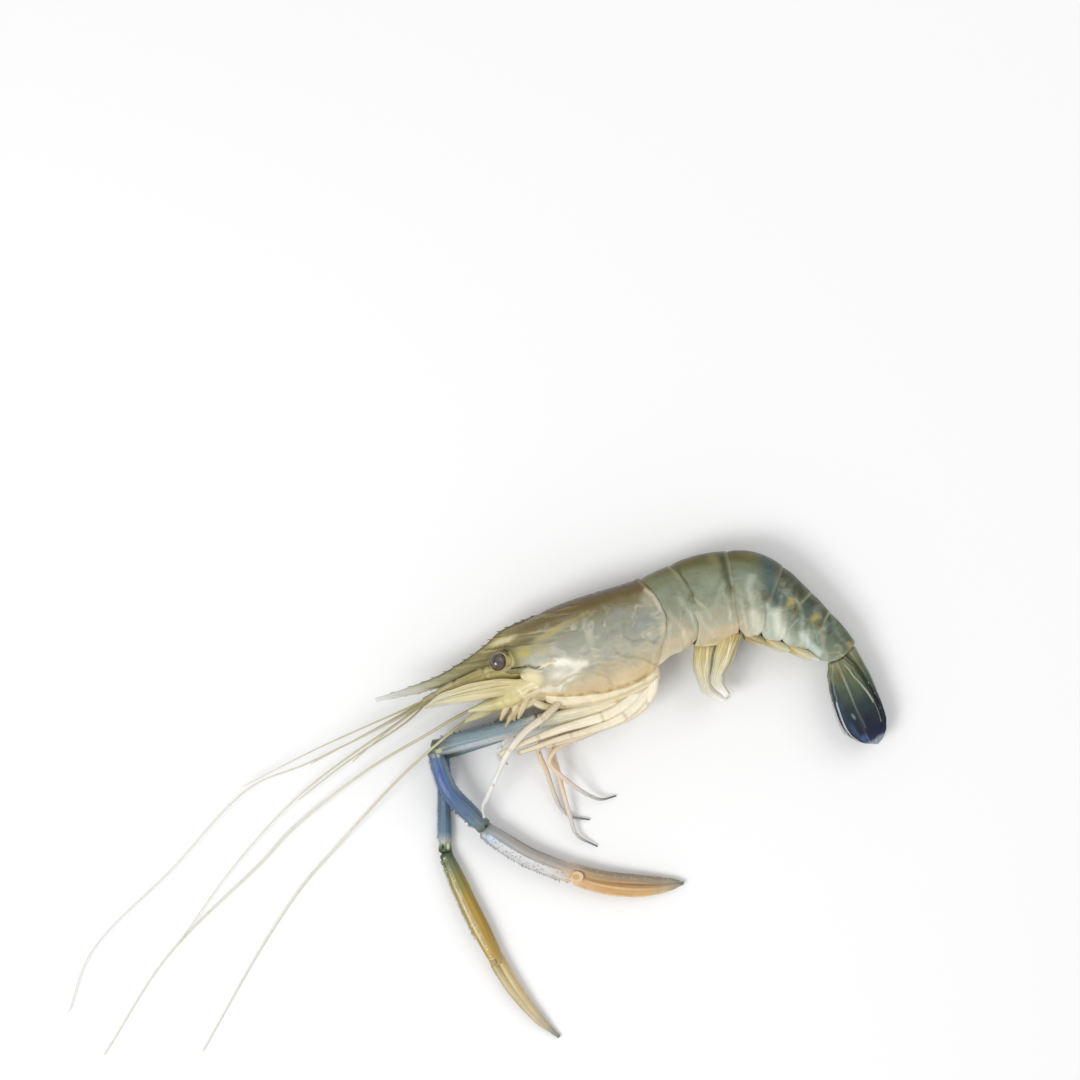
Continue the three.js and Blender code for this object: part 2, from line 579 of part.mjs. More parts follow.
for (const side of SIDES) piece(`eye_${mark(side)}`, COLOURS.eye, (grow) => eye(side, grow));
piece('carapace', COLOURS.carapace, carapace, ['eye_left', 'eye_right']);
ABDOMEN.forEach((segment, i) => {
  piece(`abdomen_${i + 1}`, i < 3 ? COLOURS.abdomen : COLOURS.rear,
    (grow) => plate({ ...segment, sides: ABDOMEN_SIDES }, grow), [i === 0 ? 'carapace' : `abdomen_${i}`]);
});
piece('breast', COLOURS.breast, breast, ['carapace', 'abdomen_1']);
for (const side of SIDES) {
  const at = mark(side);
  piece(`antennule_${at}`, COLOURS.feeler, (grow) => antennule(side, grow), ['carapace', `eye_${at}`]);
  piece(`antenna_${at}`, COLOURS.feeler, (grow) => antenna(side, grow), ['carapace']);
  piece(`antennal_scale_${at}`, COLOURS.scale, (grow) => scaleBlade(side, grow),
    ['carapace', `antennule_${at}`, `antenna_${at}`]);
  piece(`mouth_leg_${at}`, COLOURS.mouth, (grow) => mouthLeg(side, grow), ['carapace', 'breast']);
  piece(`small_claw_leg_${at}`, COLOURS.leg, (grow) => firstLeg(side, grow), ['carapace', 'breast']);
  piece(`claw_${at}_base`, COLOURS.clawBase, (grow) => claw.base(side, grow), ['carapace', 'breast']);
  piece(`claw_${at}_arm`, COLOURS.clawBlue, (grow) => claw.arm(side, grow), [`claw_${at}_base`]);
  piece(`claw_${at}_wrist`, COLOURS.clawBlue, (grow) => claw.wrist(side, grow), [`claw_${at}_arm`]);
  piece(`claw_${at}_palm`, COLOURS.clawPalm, (grow) => claw.palm(side, grow), [`claw_${at}_wrist`]);
  piece(`claw_${at}_finger`, COLOURS.clawFinger, (grow) => claw.finger(side, grow), [`claw_${at}_palm`]);
  for (let pair = 0; pair < 3; pair += 1) {
    piece(`walking_leg_${pair + 1}_${at}`, COLOURS.leg, (grow) => walkingLeg(side, pair, grow),
      ['carapace', 'breast', 'abdomen_1']);
  }
}
piece('telson', COLOURS.rear, telson, ['abdomen_6']);
for (const side of SIDES) {
  for (const kind of Object.keys(TAIL_BLADES)) {
    piece(`tail_blade_${kind}_${mark(side)}`, COLOURS.tail, (grow) => tailBlade(kind, side, grow),
      ['abdomen_6', 'telson']);
  }
  for (let pair = 0; pair < 5; pair += 1) {
    piece(`swimmeret_${pair + 1}_${mark(side)}`, COLOURS.swimmeret, (grow) => swimmeret(pair, side, grow),
      ['abdomen_1', 'abdomen_2', 'abdomen_3', 'abdomen_4', 'abdomen_5', 'abdomen_6']);
  }
}

const prawn = new THREE.Group();
for (const { name, colour, solid } of pieces) {
  const material = new THREE.MeshStandardMaterial({ color: colour, roughness: 0.35, metalness: 0 });
  const mesh = new THREE.Mesh(toGeometry(solid), material);
  mesh.name = name;
  prawn.add(mesh);
}

// The origin is the middle of the footprint, on the table.
const box = new THREE.Box3().setFromObject(prawn);
const centre = box.getCenter(new THREE.Vector3());
prawn.position.set(-centre.x, -centre.y, -box.min.z);

export default prawn;
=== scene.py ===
# %% [markdown]
# # A raw giant river prawn
# The prawn lies on its right side, as a fishmonger lays it out. The plain solids of its shell, legs and
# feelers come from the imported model, and this lesson dresses them: each plate becomes a thin moist shell,
# each limb gets its joints and spines, and a few shared effects paint skin that light shines into.

# %% Load the fixed frame
import math

import bpy
import numpy as np
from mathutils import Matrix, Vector


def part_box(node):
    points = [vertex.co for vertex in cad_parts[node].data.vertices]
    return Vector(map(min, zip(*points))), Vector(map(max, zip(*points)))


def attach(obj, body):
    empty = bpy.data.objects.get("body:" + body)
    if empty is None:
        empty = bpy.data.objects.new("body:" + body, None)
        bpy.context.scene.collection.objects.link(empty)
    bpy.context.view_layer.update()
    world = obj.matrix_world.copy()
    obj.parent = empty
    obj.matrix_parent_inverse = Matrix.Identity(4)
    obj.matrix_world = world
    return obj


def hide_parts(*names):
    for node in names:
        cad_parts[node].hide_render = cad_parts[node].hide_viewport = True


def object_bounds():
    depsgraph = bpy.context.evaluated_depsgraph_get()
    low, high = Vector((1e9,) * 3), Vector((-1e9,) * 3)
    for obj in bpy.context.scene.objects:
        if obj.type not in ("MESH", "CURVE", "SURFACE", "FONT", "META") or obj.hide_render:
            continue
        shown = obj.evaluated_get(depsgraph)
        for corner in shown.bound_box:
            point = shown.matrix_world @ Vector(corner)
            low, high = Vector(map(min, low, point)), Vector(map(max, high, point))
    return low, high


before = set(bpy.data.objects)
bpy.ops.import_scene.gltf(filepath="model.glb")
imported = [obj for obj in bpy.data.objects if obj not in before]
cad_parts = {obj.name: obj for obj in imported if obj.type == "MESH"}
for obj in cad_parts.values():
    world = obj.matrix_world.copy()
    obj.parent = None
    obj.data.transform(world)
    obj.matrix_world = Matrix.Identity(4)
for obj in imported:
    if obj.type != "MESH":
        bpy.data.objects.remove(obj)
CAD_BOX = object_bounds()
bpy.ops.object.select_all(action="DESELECT")
print("plain solids:", len(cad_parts))

# %% [markdown]
# ## The body line
# Every ring of a prawn sits on one line that runs through the middle of the body and bends where the
# animal bends. The rings could be modelled bent, but a straight body is far easier to shape and to paint,
# so they are modelled straight and a Curve modifier bends them along this line at the end.

# %% Walk the body line
MM = 0.001
BODY_LINE = (
    (-66, 16.5), (-4, 17.5), (11.7, 18), (32.8, 3), (49.5, -22),
    (61.6, -33), (72.9, -36), (84, -44), (92, -68), (130, -69),
)
LINE_START = -126.0
LINE_END = 134.0
LINE_STEP = 0.25


def heading(at):
    """How steeply the body line climbs, in radians, at a distance in mm from the waist."""
    return np.radians(np.interp(at, *zip(*BODY_LINE)))


line_at = np.arange(LINE_START, LINE_END + LINE_STEP / 2, LINE_STEP)
strides = heading(line_at[:-1] + LINE_STEP / 2)
line_x = np.concatenate([[0], np.cumsum(np.cos(strides))]) * LINE_STEP
line_y = np.concatenate([[0], np.cumsum(np.sin(strides))]) * LINE_STEP
line_x -= np.interp(0, line_at, line_x)
line_y -= np.interp(0, line_at, line_y)
print("body line:", round(LINE_END - LINE_START), "mm long")

# %% Find the waist in the frame
EYE_AT = -69.2
EYE_RISE = 1.9
EYE_SPREAD = 6.6
EYE_RADIUS = 3.8


def beside_line(at, rise):
    """X and Y in mm from the waist, for a place so far along the body and so far towards the back."""
    turn = heading(at)
    x = np.interp(at, line_at, line_x) - rise * np.sin(turn)
    y = np.interp(at, line_at, line_y) + rise * np.cos(turn)
    return x, y


eye_corner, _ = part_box("eye_left")
eye_x, eye_y = beside_line(EYE_AT, EYE_RISE)
WAIST = Vector((eye_corner.x / MM + EYE_RADIUS - eye_x, eye_corner.y / MM + EYE_RADIUS - eye_y, 0))
print("waist at", [round(v, 2) for v in WAIST], "mm")

# %% [markdown]
# ## Places on the body
# A place is given as the distance along the body, the rise towards the back and the offset towards the
# left side. The left side is up here, and the midline sinks a little towards the slim tail, because the
# whole right side touches the table.

# %% Turn body places into the frame
WIDEST_SIDE = 16.0
WIDEST_AT = -25.0
FLAT_SPOT = 0.25
MIDLINE_DROP = 0.057


def midline_height(at):
    """How high the middle of the body is above the table, in mm."""
    return WIDEST_SIDE - FLAT_SPOT - MIDLINE_DROP * (at - WIDEST_AT)


def on_body(at, rise=0.0, left=0.0):
    """A place on the body, as millimetres in the frame."""
    x, y = beside_line(at, rise)
    return Vector((WAIST.x + x, WAIST.y + y, max(0.0, midline_height(at) + left)))


def on_side(places, sign):
    """Body places that are given for the left side, on the left (sign 1) or the right side (sign -1)."""
    return [on_body(at, rise, sign * left) for at, rise, left in places]


def from_waist(x, y, z):
    """A place given in mm from the waist, as millimetres in the frame."""
    return Vector((WAIST.x + x, WAIST.y + y, z))


def body_place(x, y):
    """Distance along the body and rise, for a point given in mm from the waist."""
    nearest = np.argmin((line_x - x) ** 2 + (line_y - y) ** 2)
    turn = heading(line_at[nearest])
    rise = (y - line_y[nearest]) * math.cos(turn) - (x - line_x[nearest]) * math.sin(turn)
    return float(line_at[nearest]), float(rise)


print("eye centre:", [round(v, 1) for v in on_body(EYE_AT, EYE_RISE, EYE_SPREAD)], "mm")

# %% [markdown]
# ## Camera, floor and light
# The photo looks straight down with a long lens, so that nothing is foreshortened. The camera stands over
# the same spot and sees the same width. The floor is plain and pale, one wide soft light comes from the
# lower left, where the eye has its highlight, and the pale surroundings fill the shadows.

# %% Camera over the prawn
MM_PER_PIXEL = 0.42
PHOTO_SIDE = 1080
WAIST_PIXEL = (657, 617)
LENS = 100.0
SENSOR = 36.0

seen_width = PHOTO_SIDE * MM_PER_PIXEL
photo_centre = from_waist(
    (PHOTO_SIDE / 2 - WAIST_PIXEL[0]) * MM_PER_PIXEL,
    (WAIST_PIXEL[1] - PHOTO_SIDE / 2) * MM_PER_PIXEL,
    WIDEST_SIDE,
)
camera_rise = seen_width * LENS / SENSOR
camera_place = (photo_centre + Vector((0, 0, camera_rise))) * MM
bpy.ops.object.camera_add(location=camera_place, rotation=(0, 0, 0))
camera = bpy.context.object
camera.data.lens = LENS
camera.data.sensor_width = SENSOR
bpy.context.scene.camera = camera
print("camera stands", round(camera_rise), "mm above the prawn")

# %% Pale floor
FLOOR_SIDE = 6.0
FLOOR_DROP = 0.1

bpy.ops.mesh.primitive_plane_add(size=FLOOR_SIDE, location=(0, 0, -FLOOR_DROP * MM))
floor = bpy.context.object
floor.name = "floor"
print("floor:", FLOOR_SIDE, "m wide")

# %% Soft lights
KEY_LIGHT = ((-0.75, -0.55, 1.25), 14.0, 0.7)
FILL_LIGHT = ((0.95, 0.75, 1.1), 5.6, 1.1)
SURROUNDINGS = (1.0, 1.0, 1.0, 1.0)
SURROUNDINGS_STRENGTH = 0.72


def soft_light(name, place, power, side):
    """A square soft light that looks at the middle of the prawn."""
    bpy.ops.object.light_add(type="AREA", location=place)
    light = bpy.context.object
    light.name = name
    light.data.energy = power
    light.data.size = side
    light.rotation_euler = (photo_centre * MM - light.location).to_track_quat("-Z", "Y").to_euler()


soft_light("key_light", *KEY_LIGHT)
soft_light("fill_light", *FILL_LIGHT)
world = bpy.data.worlds.new("surroundings")
world.use_nodes = True
world.node_tree.nodes["Background"].inputs["Color"].default_value = SURROUNDINGS
world.node_tree.nodes["Background"].inputs["Strength"].default_value = SURROUNDINGS_STRENGTH
bpy.context.scene.world = world
bpy.context.scene.view_settings.view_transform = "Standard"
print("lights: key, fill and pale surroundings")

# %% [markdown]
# ## Paint box
# A finish is a Principled shader with a few nodes in front of it. The same moves come back in every one:
# read a number, mix two colours, run a ramp. They are written once here, so that each material below reads
# as a list of colours and places.

# %% Colours
PAINT_SHARE = 0.91
SHEEN = 0.04
DARKEST = 0.3


def ink(red, green, blue):
    """A colour as it looks under the lights, 0 to 255, as the linear share that the paint gives back.
    Wet shell mirrors some white light, so that much is taken off first."""
    shares = np.array((red, green, blue)) / 255
    linear = np.where(shares <= 0.04045, shares / 12.92, ((shares + 0.055) / 1.055) ** 2.4)
    painted = np.maximum((linear - SHEEN) / (1 - SHEEN), linear * DARKEST)
    return (*(painted * PAINT_SHARE).tolist(), 1.0)


print("white paint gives back", [round(share, 2) for share in ink(255, 255, 255)[:3]])

# %% Nodes
MIX_SOCKETS = (0, 6, 7)
MIX_RESULT = 2
NUMBER_STEPS = ("LENGTH", "DISTANCE", "DOT_PRODUCT")


class Finish:
    """A material, or a group when tree is given, and the moves that build its nodes."""

    def __init__(self, name, tree=None):
        self.material = None
        if tree is None:
            self.material = bpy.data.materials.new(name)
            self.material.use_nodes = True
            tree = self.material.node_tree
            self.shader = tree.nodes["Principled BSDF"]
        self.tree = tree

    def node(self, kind, *values, **settings):
        """Adds a node; each value is a number, a colour or another node's output, in socket order."""
        made = self.tree.nodes.new(kind)
        for key, value in settings.items():
            setattr(made, key, value)
        open_sockets = [s for s in made.inputs if s.enabled]
        for socket, value in zip(open_sockets, values):
            self.feed(socket, value)
        return made

    def feed(self, socket, value):
        """Gives a socket a constant, or links an output to it."""
        if isinstance(value, bpy.types.NodeSocket):
            self.tree.links.new(value, socket)
        else:
            socket.default_value = value

    def math(self, operation, *values, clamp=False):
        return self.node("ShaderNodeMath", *values, operation=operation, use_clamp=clamp).outputs[0]

    def times(self, *values):
        """Multiplies one number after another."""
        product = values[0]
        for value in values[1:]:
            product = self.math("MULTIPLY", product, value)
        return product

    def vector(self, operation, *values):
        """A step with vectors; some steps give a number."""
        made = self.node("ShaderNodeVectorMath", *values, operation=operation)
        return made.outputs["Value" if operation in NUMBER_STEPS else "Vector"]

    def combine(self, x, y, z):
        return self.node("ShaderNodeCombineXYZ", x, y, z).outputs[0]

    def parts(self, vector):
        return tuple(self.node("ShaderNodeSeparateXYZ", vector).outputs)

    def turn(self, place, angle):
        """Turns a place round the third axis."""
        made = self.node("ShaderNodeVectorRotate", rotation_type="Z_AXIS")
        self.feed(made.inputs["Vector"], place)
        self.feed(made.inputs["Angle"], angle)
        return made.outputs[0]

    def mix(self, amount, below, above, blend="MIX"):
        mixed = self.node("ShaderNodeMix", data_type="RGBA", blend_type=blend)
        for socket, value in zip(MIX_SOCKETS, (amount, below, above)):
            self.feed(mixed.inputs[socket], value)
        return mixed.outputs[MIX_RESULT]

    def lay(self, below, above, *amounts):
        """Lays a tint, 0 to 255, or a painted colour over another, by the product of amounts from 0 to 1."""
        above = ink(*above) if isinstance(above, tuple) else above
        return self.mix(self.times(*amounts), below, above)

    def shade(self, colour, light):
        """Multiplies a colour by a light: below 1 it darkens, above 1 it brightens."""
        grey = self.node("ShaderNodeCombineColor", light, light, light).outputs[0]
        return self.mix(1.0, colour, grey, blend="MULTIPLY")

    def spread(self, value, low, high, out_low=0.0, out_high=1.0, smooth=False):
        """Maps low..high onto out_low..out_high, clamped."""
        style = "SMOOTHSTEP" if smooth else "LINEAR"
        made = self.node("ShaderNodeMapRange", value, low, high, out_low, out_high, interpolation_type=style)
        return made.outputs[0]

    def ramp(self, value, stops):
        """Runs through tints, 0 to 255, along a value: each stop is (value, red, green, blue)."""
        low, high = stops[0][0], stops[-1][0]
        made = self.node("ShaderNodeValToRGB", self.spread(value, low, high))
        made.color_ramp.interpolation = "EASE"
        elements = made.color_ramp.elements
        while len(elements) < len(stops):
            elements.new(0.5)
        for element, (place, *tint) in zip(elements, stops):
            element.position = (place - low) / (high - low)
            element.color = ink(*tint)
        return made.outputs[0]

    def noise(self, place, scale, detail=2.0, distortion=0.0, output="Fac"):
        """Soft noise, with so many swings in a mm."""
        made = self.tree.nodes.new("ShaderNodeTexNoise")
        self.feed(made.inputs["Vector"], place)
        self.feed(made.inputs["Scale"], scale)
        made.inputs["Detail"].default_value = detail
        made.inputs["Distortion"].default_value = distortion
        return made.outputs[output]

    def cells(self, place, scale, feature="F1"):
        """Scattered cells, so many in a mm."""
        made = self.node("ShaderNodeTexVoronoi", feature=feature)
        self.feed(made.inputs["Vector"], place)
        self.feed(made.inputs["Scale"], scale)
        return made

    def noted(self, name, output="Fac"):
        """Reads what a mesh notes at each point: a number, or a place when output is Vector."""
        return self.node("ShaderNodeAttribute", attribute_name=name).outputs[output]

    def whereabouts(self):
        """The place on the piece in mm, in the frame."""
        return self.vector("MULTIPLY", self.node("ShaderNodeTexCoord").outputs["Object"], (1 / MM,) * 3)

    def finish(self, colour, roughness, height, bump, bump_mm, constants):
        """Feeds the shader, and sets constants on its own sockets."""
        relief = self.node("ShaderNodeBump")
        relief.inputs["Strength"].default_value = bump
        relief.inputs["Distance"].default_value = bump_mm * MM
        self.feed(relief.inputs["Height"], height)
        fed = {"Base Color": colour, "Roughness": roughness, "Normal": relief.outputs[0], **constants}
        for socket, value in fed.items():
            self.feed(self.shader.inputs[socket], value)
        return self.material


def new_group(name, inputs, output):
    """A shader node group with named sockets, and a Finish to fill it with."""
    tree = bpy.data.node_groups.new(name, "ShaderNodeTree")
    kinds = {"value": "NodeSocketFloat", "vector": "NodeSocketVector", "colour": "NodeSocketColor"}
    for title, kind in inputs.items():
        tree.interface.new_socket(title, in_out="INPUT", socket_type=kinds[kind])
    tree.interface.new_socket(output[0], in_out="OUTPUT", socket_type=kinds[output[1]])
    source = tree.nodes.new("NodeGroupInput")
    target = tree.nodes.new("NodeGroupOutput")
    return Finish(name, tree), source.outputs, target.inputs[0]


def use_group(paint, name, **values):
    """Places a group in a material, and returns its output."""
    made = paint.node("ShaderNodeGroup", node_tree=bpy.data.node_groups[name])
    for title, value in values.items():
        paint.feed(made.inputs[title], value)
    return made.outputs[0]


print("paint box ready")

# %% [markdown]
# ## Effects that many pieces share
# Raw prawn shell is clear horn over pale flesh. Its colour comes in soft-edged patches, cloudy mottling,
# tiny pigment specks and faint vessels, and its surface is finely pitted and wet. Each of these could be
# an image, but a node group keeps it sharp at any distance and lets every plate have its own values.

# %% Soft patch
sockets = {"Place": "vector", "Centre": "vector", "Reach": "vector", "Turn": "value", "Softness": "value"}
group, source, target = new_group("patch", sockets, ("Mask", "value"))
offset = group.vector("SUBTRACT", source["Place"], source["Centre"])
scaled = group.vector("DIVIDE", group.turn(offset, source["Turn"]), source["Reach"])
inner = group.math("SUBTRACT", 1.0, source["Softness"])
group.feed(target, group.spread(group.vector("LENGTH", scaled), 1.0, inner, smooth=True))
print("group: patch")

# %% Soft line
sockets = {"Place": "vector", "Start": "vector", "End": "vector", "Width": "value"}
group, source, target = new_group("line", sockets, ("Mask", "value"))
run = group.vector("SUBTRACT", source["End"], source["Start"])
since = group.vector("SUBTRACT", source["Place"], source["Start"])
passed = group.vector("DOT_PRODUCT", since, run)
whole = group.vector("DOT_PRODUCT", run, run)
foot = group.node("ShaderNodeVectorMath", run, operation="SCALE")
group.feed(foot.inputs["Scale"], group.math("DIVIDE", passed, whole, clamp=True))
gap = group.vector("DISTANCE", since, foot.outputs[0])
group.feed(target, group.spread(gap, source["Width"], 0.0, smooth=True))
print("group: line")

# %% Streaks
STREAK_DETAIL = 3.0
STREAK_BEND = 0.4

sockets = {
    "Place": "vector", "Turn": "value", "Along": "value", "Across": "value", "Low": "value", "High": "value",
}
group, source, target = new_group("streaks", sockets, ("Mask", "value"))
stretch = group.combine(source["Along"], source["Across"], source["Across"])
drawn = group.vector("MULTIPLY", group.turn(source["Place"], source["Turn"]), stretch)
fibres = group.noise(drawn, 1.0, STREAK_DETAIL, STREAK_BEND)
group.feed(target, group.spread(fibres, source["Low"], source["High"], smooth=True))
print("group: streaks")

# %% Cloudy mottling
CLOUD_DETAIL = 4.0
CLOUD_BEND = 0.6
CLOUD_SHARE = 0.7
GRAINS_IN_CLOUD = 7.0
GRAIN_SHARE = 0.3

sockets = {"Colour": "colour", "Place": "vector", "Scale": "value", "Strength": "value"}
group, source, target = new_group("mottling", sockets, ("Colour", "colour"))
clouds = group.noise(source["Place"], source["Scale"], CLOUD_DETAIL, CLOUD_BEND)
grains = group.noise(source["Place"], group.times(source["Scale"], GRAINS_IN_CLOUD))
both = group.math("ADD", group.times(clouds, CLOUD_SHARE), group.times(grains, GRAIN_SHARE))
swing = group.times(group.math("SUBTRACT", both, 0.5), source["Strength"])
group.feed(target, group.shade(source["Colour"], group.math("ADD", swing, 1.0)))
print("group: mottling")

# %% Pigment specks
SPECK_EDGE = 0.32
SPECK_HEART = 0.1

sockets = {"Place": "vector", "Scale": "value", "Share": "value"}
group, source, target = new_group("specks", sockets, ("Mask", "value"))
cells = group.cells(source["Place"], source["Scale"])
chosen = group.node("ShaderNodeSeparateColor", cells.outputs["Color"]).outputs[0]
wanted = group.math("LESS_THAN", chosen, source["Share"])
dot = group.spread(cells.outputs["Distance"], SPECK_EDGE, SPECK_HEART, smooth=True)
group.feed(target, group.times(wanted, dot))
print("group: specks")

# %% Fine shell relief
SWELLS_IN_PIT = 0.2
SWELL_DETAIL = 5.0
SWELL_HEIGHT = 1.4
PIT_HEIGHT = 0.6

group, source, target = new_group("shell_relief", {"Place": "vector", "Scale": "value"}, ("Height", "value"))
pits = group.cells(source["Place"], source["Scale"], "SMOOTH_F1").outputs["Distance"]
swell = group.noise(source["Place"], group.times(source["Scale"], SWELLS_IN_PIT), SWELL_DETAIL)
group.feed(target, group.math("ADD", group.times(pits, PIT_HEIGHT), group.times(swell, SWELL_HEIGHT)))
print("group: shell relief")

# %% [markdown]
# ## Hand moves
# Every piece below starts as a circle that is extruded ring by ring, as a prawn itself is built: ring after
# ring along a line. A short function does the extruding, and another one places the rings by a rule, so a
# shell plate, a leg and a tail blade differ only in their rule.

# %% Pick, modify, and place points


def pick_nothing():
    bpy.ops.object.select_all(action="DESELECT")


def pick(piece):
    """Makes a piece the only selected and active one."""
    pick_nothing()
    piece.select_set(True)
    bpy.context.view_layer.objects.active = piece


def settle(piece):
    """Puts a piece's place, turn and scale into its mesh, so its object sits at the origin."""
    pick(piece)
    bpy.ops.object.transform_apply(location=True, rotation=True, scale=True)


def modify(piece, kind, **settings):
    """Adds a modifier, sets it up and applies it."""
    pick(piece)
    bpy.ops.object.modifier_add(type=kind)
    modifier = piece.modifiers[-1]
    for key, value in settings.items():
        setattr(modifier, key, value)
    bpy.ops.object.modifier_apply(modifier=modifier.name)


def points_of(piece):
    """A piece's points in mm."""
    points = np.empty(len(piece.data.vertices) * 3, np.float32)
    piece.data.vertices.foreach_get("co", points)
    return points.reshape(-1, 3) / MM


def place_points(piece, points):
    """Puts a piece's points at places in mm."""
    piece.data.vertices.foreach_set("co", (np.asarray(points) * MM).astype(np.float32).ravel())
    piece.data.update()


def push_out(piece, steps):
    """Moves each point along its normal, by its own step in mm."""
    normals = np.empty(len(piece.data.vertices) * 3, np.float32)
    piece.data.vertices.foreach_get("normal", normals)
    place_points(piece, points_of(piece) + normals.reshape(-1, 3) * steps[:, None])


def note(piece, name, values):
    """Stores one number or one vector for each point, for its material to read."""
    values = np.asarray(values, np.float32)
    kind = "FLOAT" if values.ndim == 1 else "FLOAT_VECTOR"
    made = piece.data.attributes.get(name) or piece.data.attributes.new(name, kind, "POINT")
    made.data.foreach_set("value" if values.ndim == 1 else "vector", values.ravel())


def face_out(piece):
    """Turns every face outwards."""
    pick(piece)
    bpy.ops.object.mode_set(mode="EDIT")
    bpy.ops.mesh.select_all(action="SELECT")
    bpy.ops.mesh.normals_make_consistent(inside=False)
    bpy.ops.object.mode_set(mode="OBJECT")


def extruded(name, sides, rings, capped=True):
    """A unit circle extruded into rings. Returns it with each point's share along and angle round."""
    pick_nothing()
    fill = "NGON" if capped else "NOTHING"
    bpy.ops.mesh.primitive_circle_add(vertices=sides, fill_type=fill, rotation=(0, math.pi / 2, 0))
    piece = bpy.context.object
    piece.name = name
    settle(piece)
    bpy.ops.object.mode_set(mode="EDIT")
    bpy.ops.mesh.select_all(action="SELECT")
    for _ in range(rings):
        bpy.ops.mesh.extrude_region_move(TRANSFORM_OT_translate={"value": (1, 0, 0)})
    bpy.ops.object.mode_set(mode="OBJECT")
    face_out(piece)
    x, y, z = (points_of(piece) * MM).T
    return piece, np.round(x) / rings, np.arctan2(z, y)


def join(*parts):
    """Joins parts into the first one."""
    pick(parts[0])
    for part in parts[1:]:
        part.select_set(True)
    bpy.ops.object.join()
    return parts[0]


BOX_LOW, BOX_HIGH = (np.array(corner) / MM for corner in CAD_BOX)
BOX_MARGIN = 0.002


def dress(piece, material, slot, *nodes):
    """Keeps a finished piece inside the plain model's box, gives it its material, and hides the plain
    solids it stands for."""
    place_points(piece, np.clip(points_of(piece), BOX_LOW + BOX_MARGIN, BOX_HIGH - BOX_MARGIN))
    pick(piece)
    bpy.ops.object.shade_smooth()
    piece.data.materials.clear()
    piece.data.materials.append(material)
    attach(piece, "root")
    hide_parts(*nodes)
    print(piece.name, "faces:", len(piece.data.polygons))


print("hand moves ready")

# %% Straight body and bent body
BODY_SIZES = (
    (-66, 13.2, 11, 6.4), (-60, 13.8, 15.5, 8.8), (-52, 14.8, 21.2, 12), (-42, 17, 24, 14.6),
    (-30, 17.7, 26.4, 16), (-18, 17.6, 26.8, 15.8), (-10, 17.4, 24.6, 15), (0, 17.7, 16.6, 14.4),
    (11.7, 19.4, 18, 13.9), (24, 20.6, 18.2, 13.2), (36, 20.9, 16.6, 12.5), (44, 19.6, 16.2, 12),
    (55, 14.7, 15.3, 11.2), (67, 11.5, 12.6, 9.7), (78, 9.3, 8.9, 7.7), (88, 7.6, 7.4, 6.2),
)
SIZE_BLUR = 6
SIZE_RANGE = (-80, 102)
SIZE_STEP = 0.5
size_grid = np.arange(*SIZE_RANGE, SIZE_STEP)


def blurred(column):
    """One column of the size table, with its corners rounded off."""
    table = np.array(BODY_SIZES, float)
    values = np.interp(size_grid, table[:, 0], table[:, column])
    window = 2 * SIZE_BLUR + 1
    return np.convolve(np.pad(values, SIZE_BLUR, "edge"), np.ones(window) / window, "valid")


BACK, BELLY, SIDE = (blurred(column) for column in (1, 2, 3))


def size_at(at):
    """Half-sizes of the body towards the back, the belly and each side, in mm."""
    return tuple(np.interp(at, size_grid, sizes) for sizes in (BACK, BELLY, SIDE))


def straighten(at, rise, left):
    """Body places as points of the straight body, in mm."""
    return np.stack([at - LINE_START, rise, midline_height(at) + left], axis=1)


def body_places(piece):
    """Body places of a straight piece's points, in mm."""
    x, y, z = points_of(piece).T
    at = x + LINE_START
    return at, y, z - midline_height(at)


pick_nothing()
bpy.ops.curve.primitive_nurbs_path_add()
spine = bpy.context.object
spine.name = "body_line"
spine.data.splines.clear()
spine.data.dimensions = "3D"
spine.data.twist_mode = "Z_UP"
walk = spine.data.splines.new("POLY")
walk.points.add(len(line_at) - 1)
for point, x, y in zip(walk.points, line_x, line_y):
    point.co = ((WAIST.x + x) * MM, (WAIST.y + y) * MM, 0, 1)


def on_table(points):
    """Lifts points that are under the table top up to it."""
    points[:, 2] = np.maximum(points[:, 2], 0)
    return points


def bend(piece):
    """Notes each point's body place, bends the straight piece along the body, and rests it on the table."""
    note(piece, "on_body", np.stack(body_places(piece), axis=1))
    modify(piece, "CURVE", object=spine, deform_axis="POS_X")
    place_points(piece, on_table(points_of(piece)))


print("body sizes at", len(BODY_SIZES), "places")

# %% Raised and sunken lines


def nearness(at, rise, line, width):
    """1 on a line of (at, rise) corners, fading to 0 over a width in mm."""
    best = np.full(len(at), np.inf)
    for (a0, r0), (a1, r1) in zip(line[:-1], line[1:]):
        run, climb = a1 - a0, r1 - r0
        share = np.clip(((at - a0) * run + (rise - r0) * climb) / (run * run + climb * climb), 0, 1)
        best = np.minimum(best, np.hypot(at - a0 - share * run, rise - r0 - share * climb))
    return np.exp(-((best / width) ** 2))


def raise_line(piece, line, width, height):
    """Lifts the surface along a line, or sinks it where the height is below 0. Returns the nearness."""
    at, rise, _ = body_places(piece)
    near = nearness(at, rise, line, width)
    push_out(piece, near * height)
    return near


def shifted(line, at=0.0, rise=0.0):
    """The same line a little further along the body or towards the back."""
    return [(a + at, r + rise) for a, r in line]


print("lines can be raised and sunk")


# %% Limbs along a route
STEPS_BETWEEN_CORNERS = 25
CLOSEST_CORNERS = 0.01
END_SHRINK = 0.55


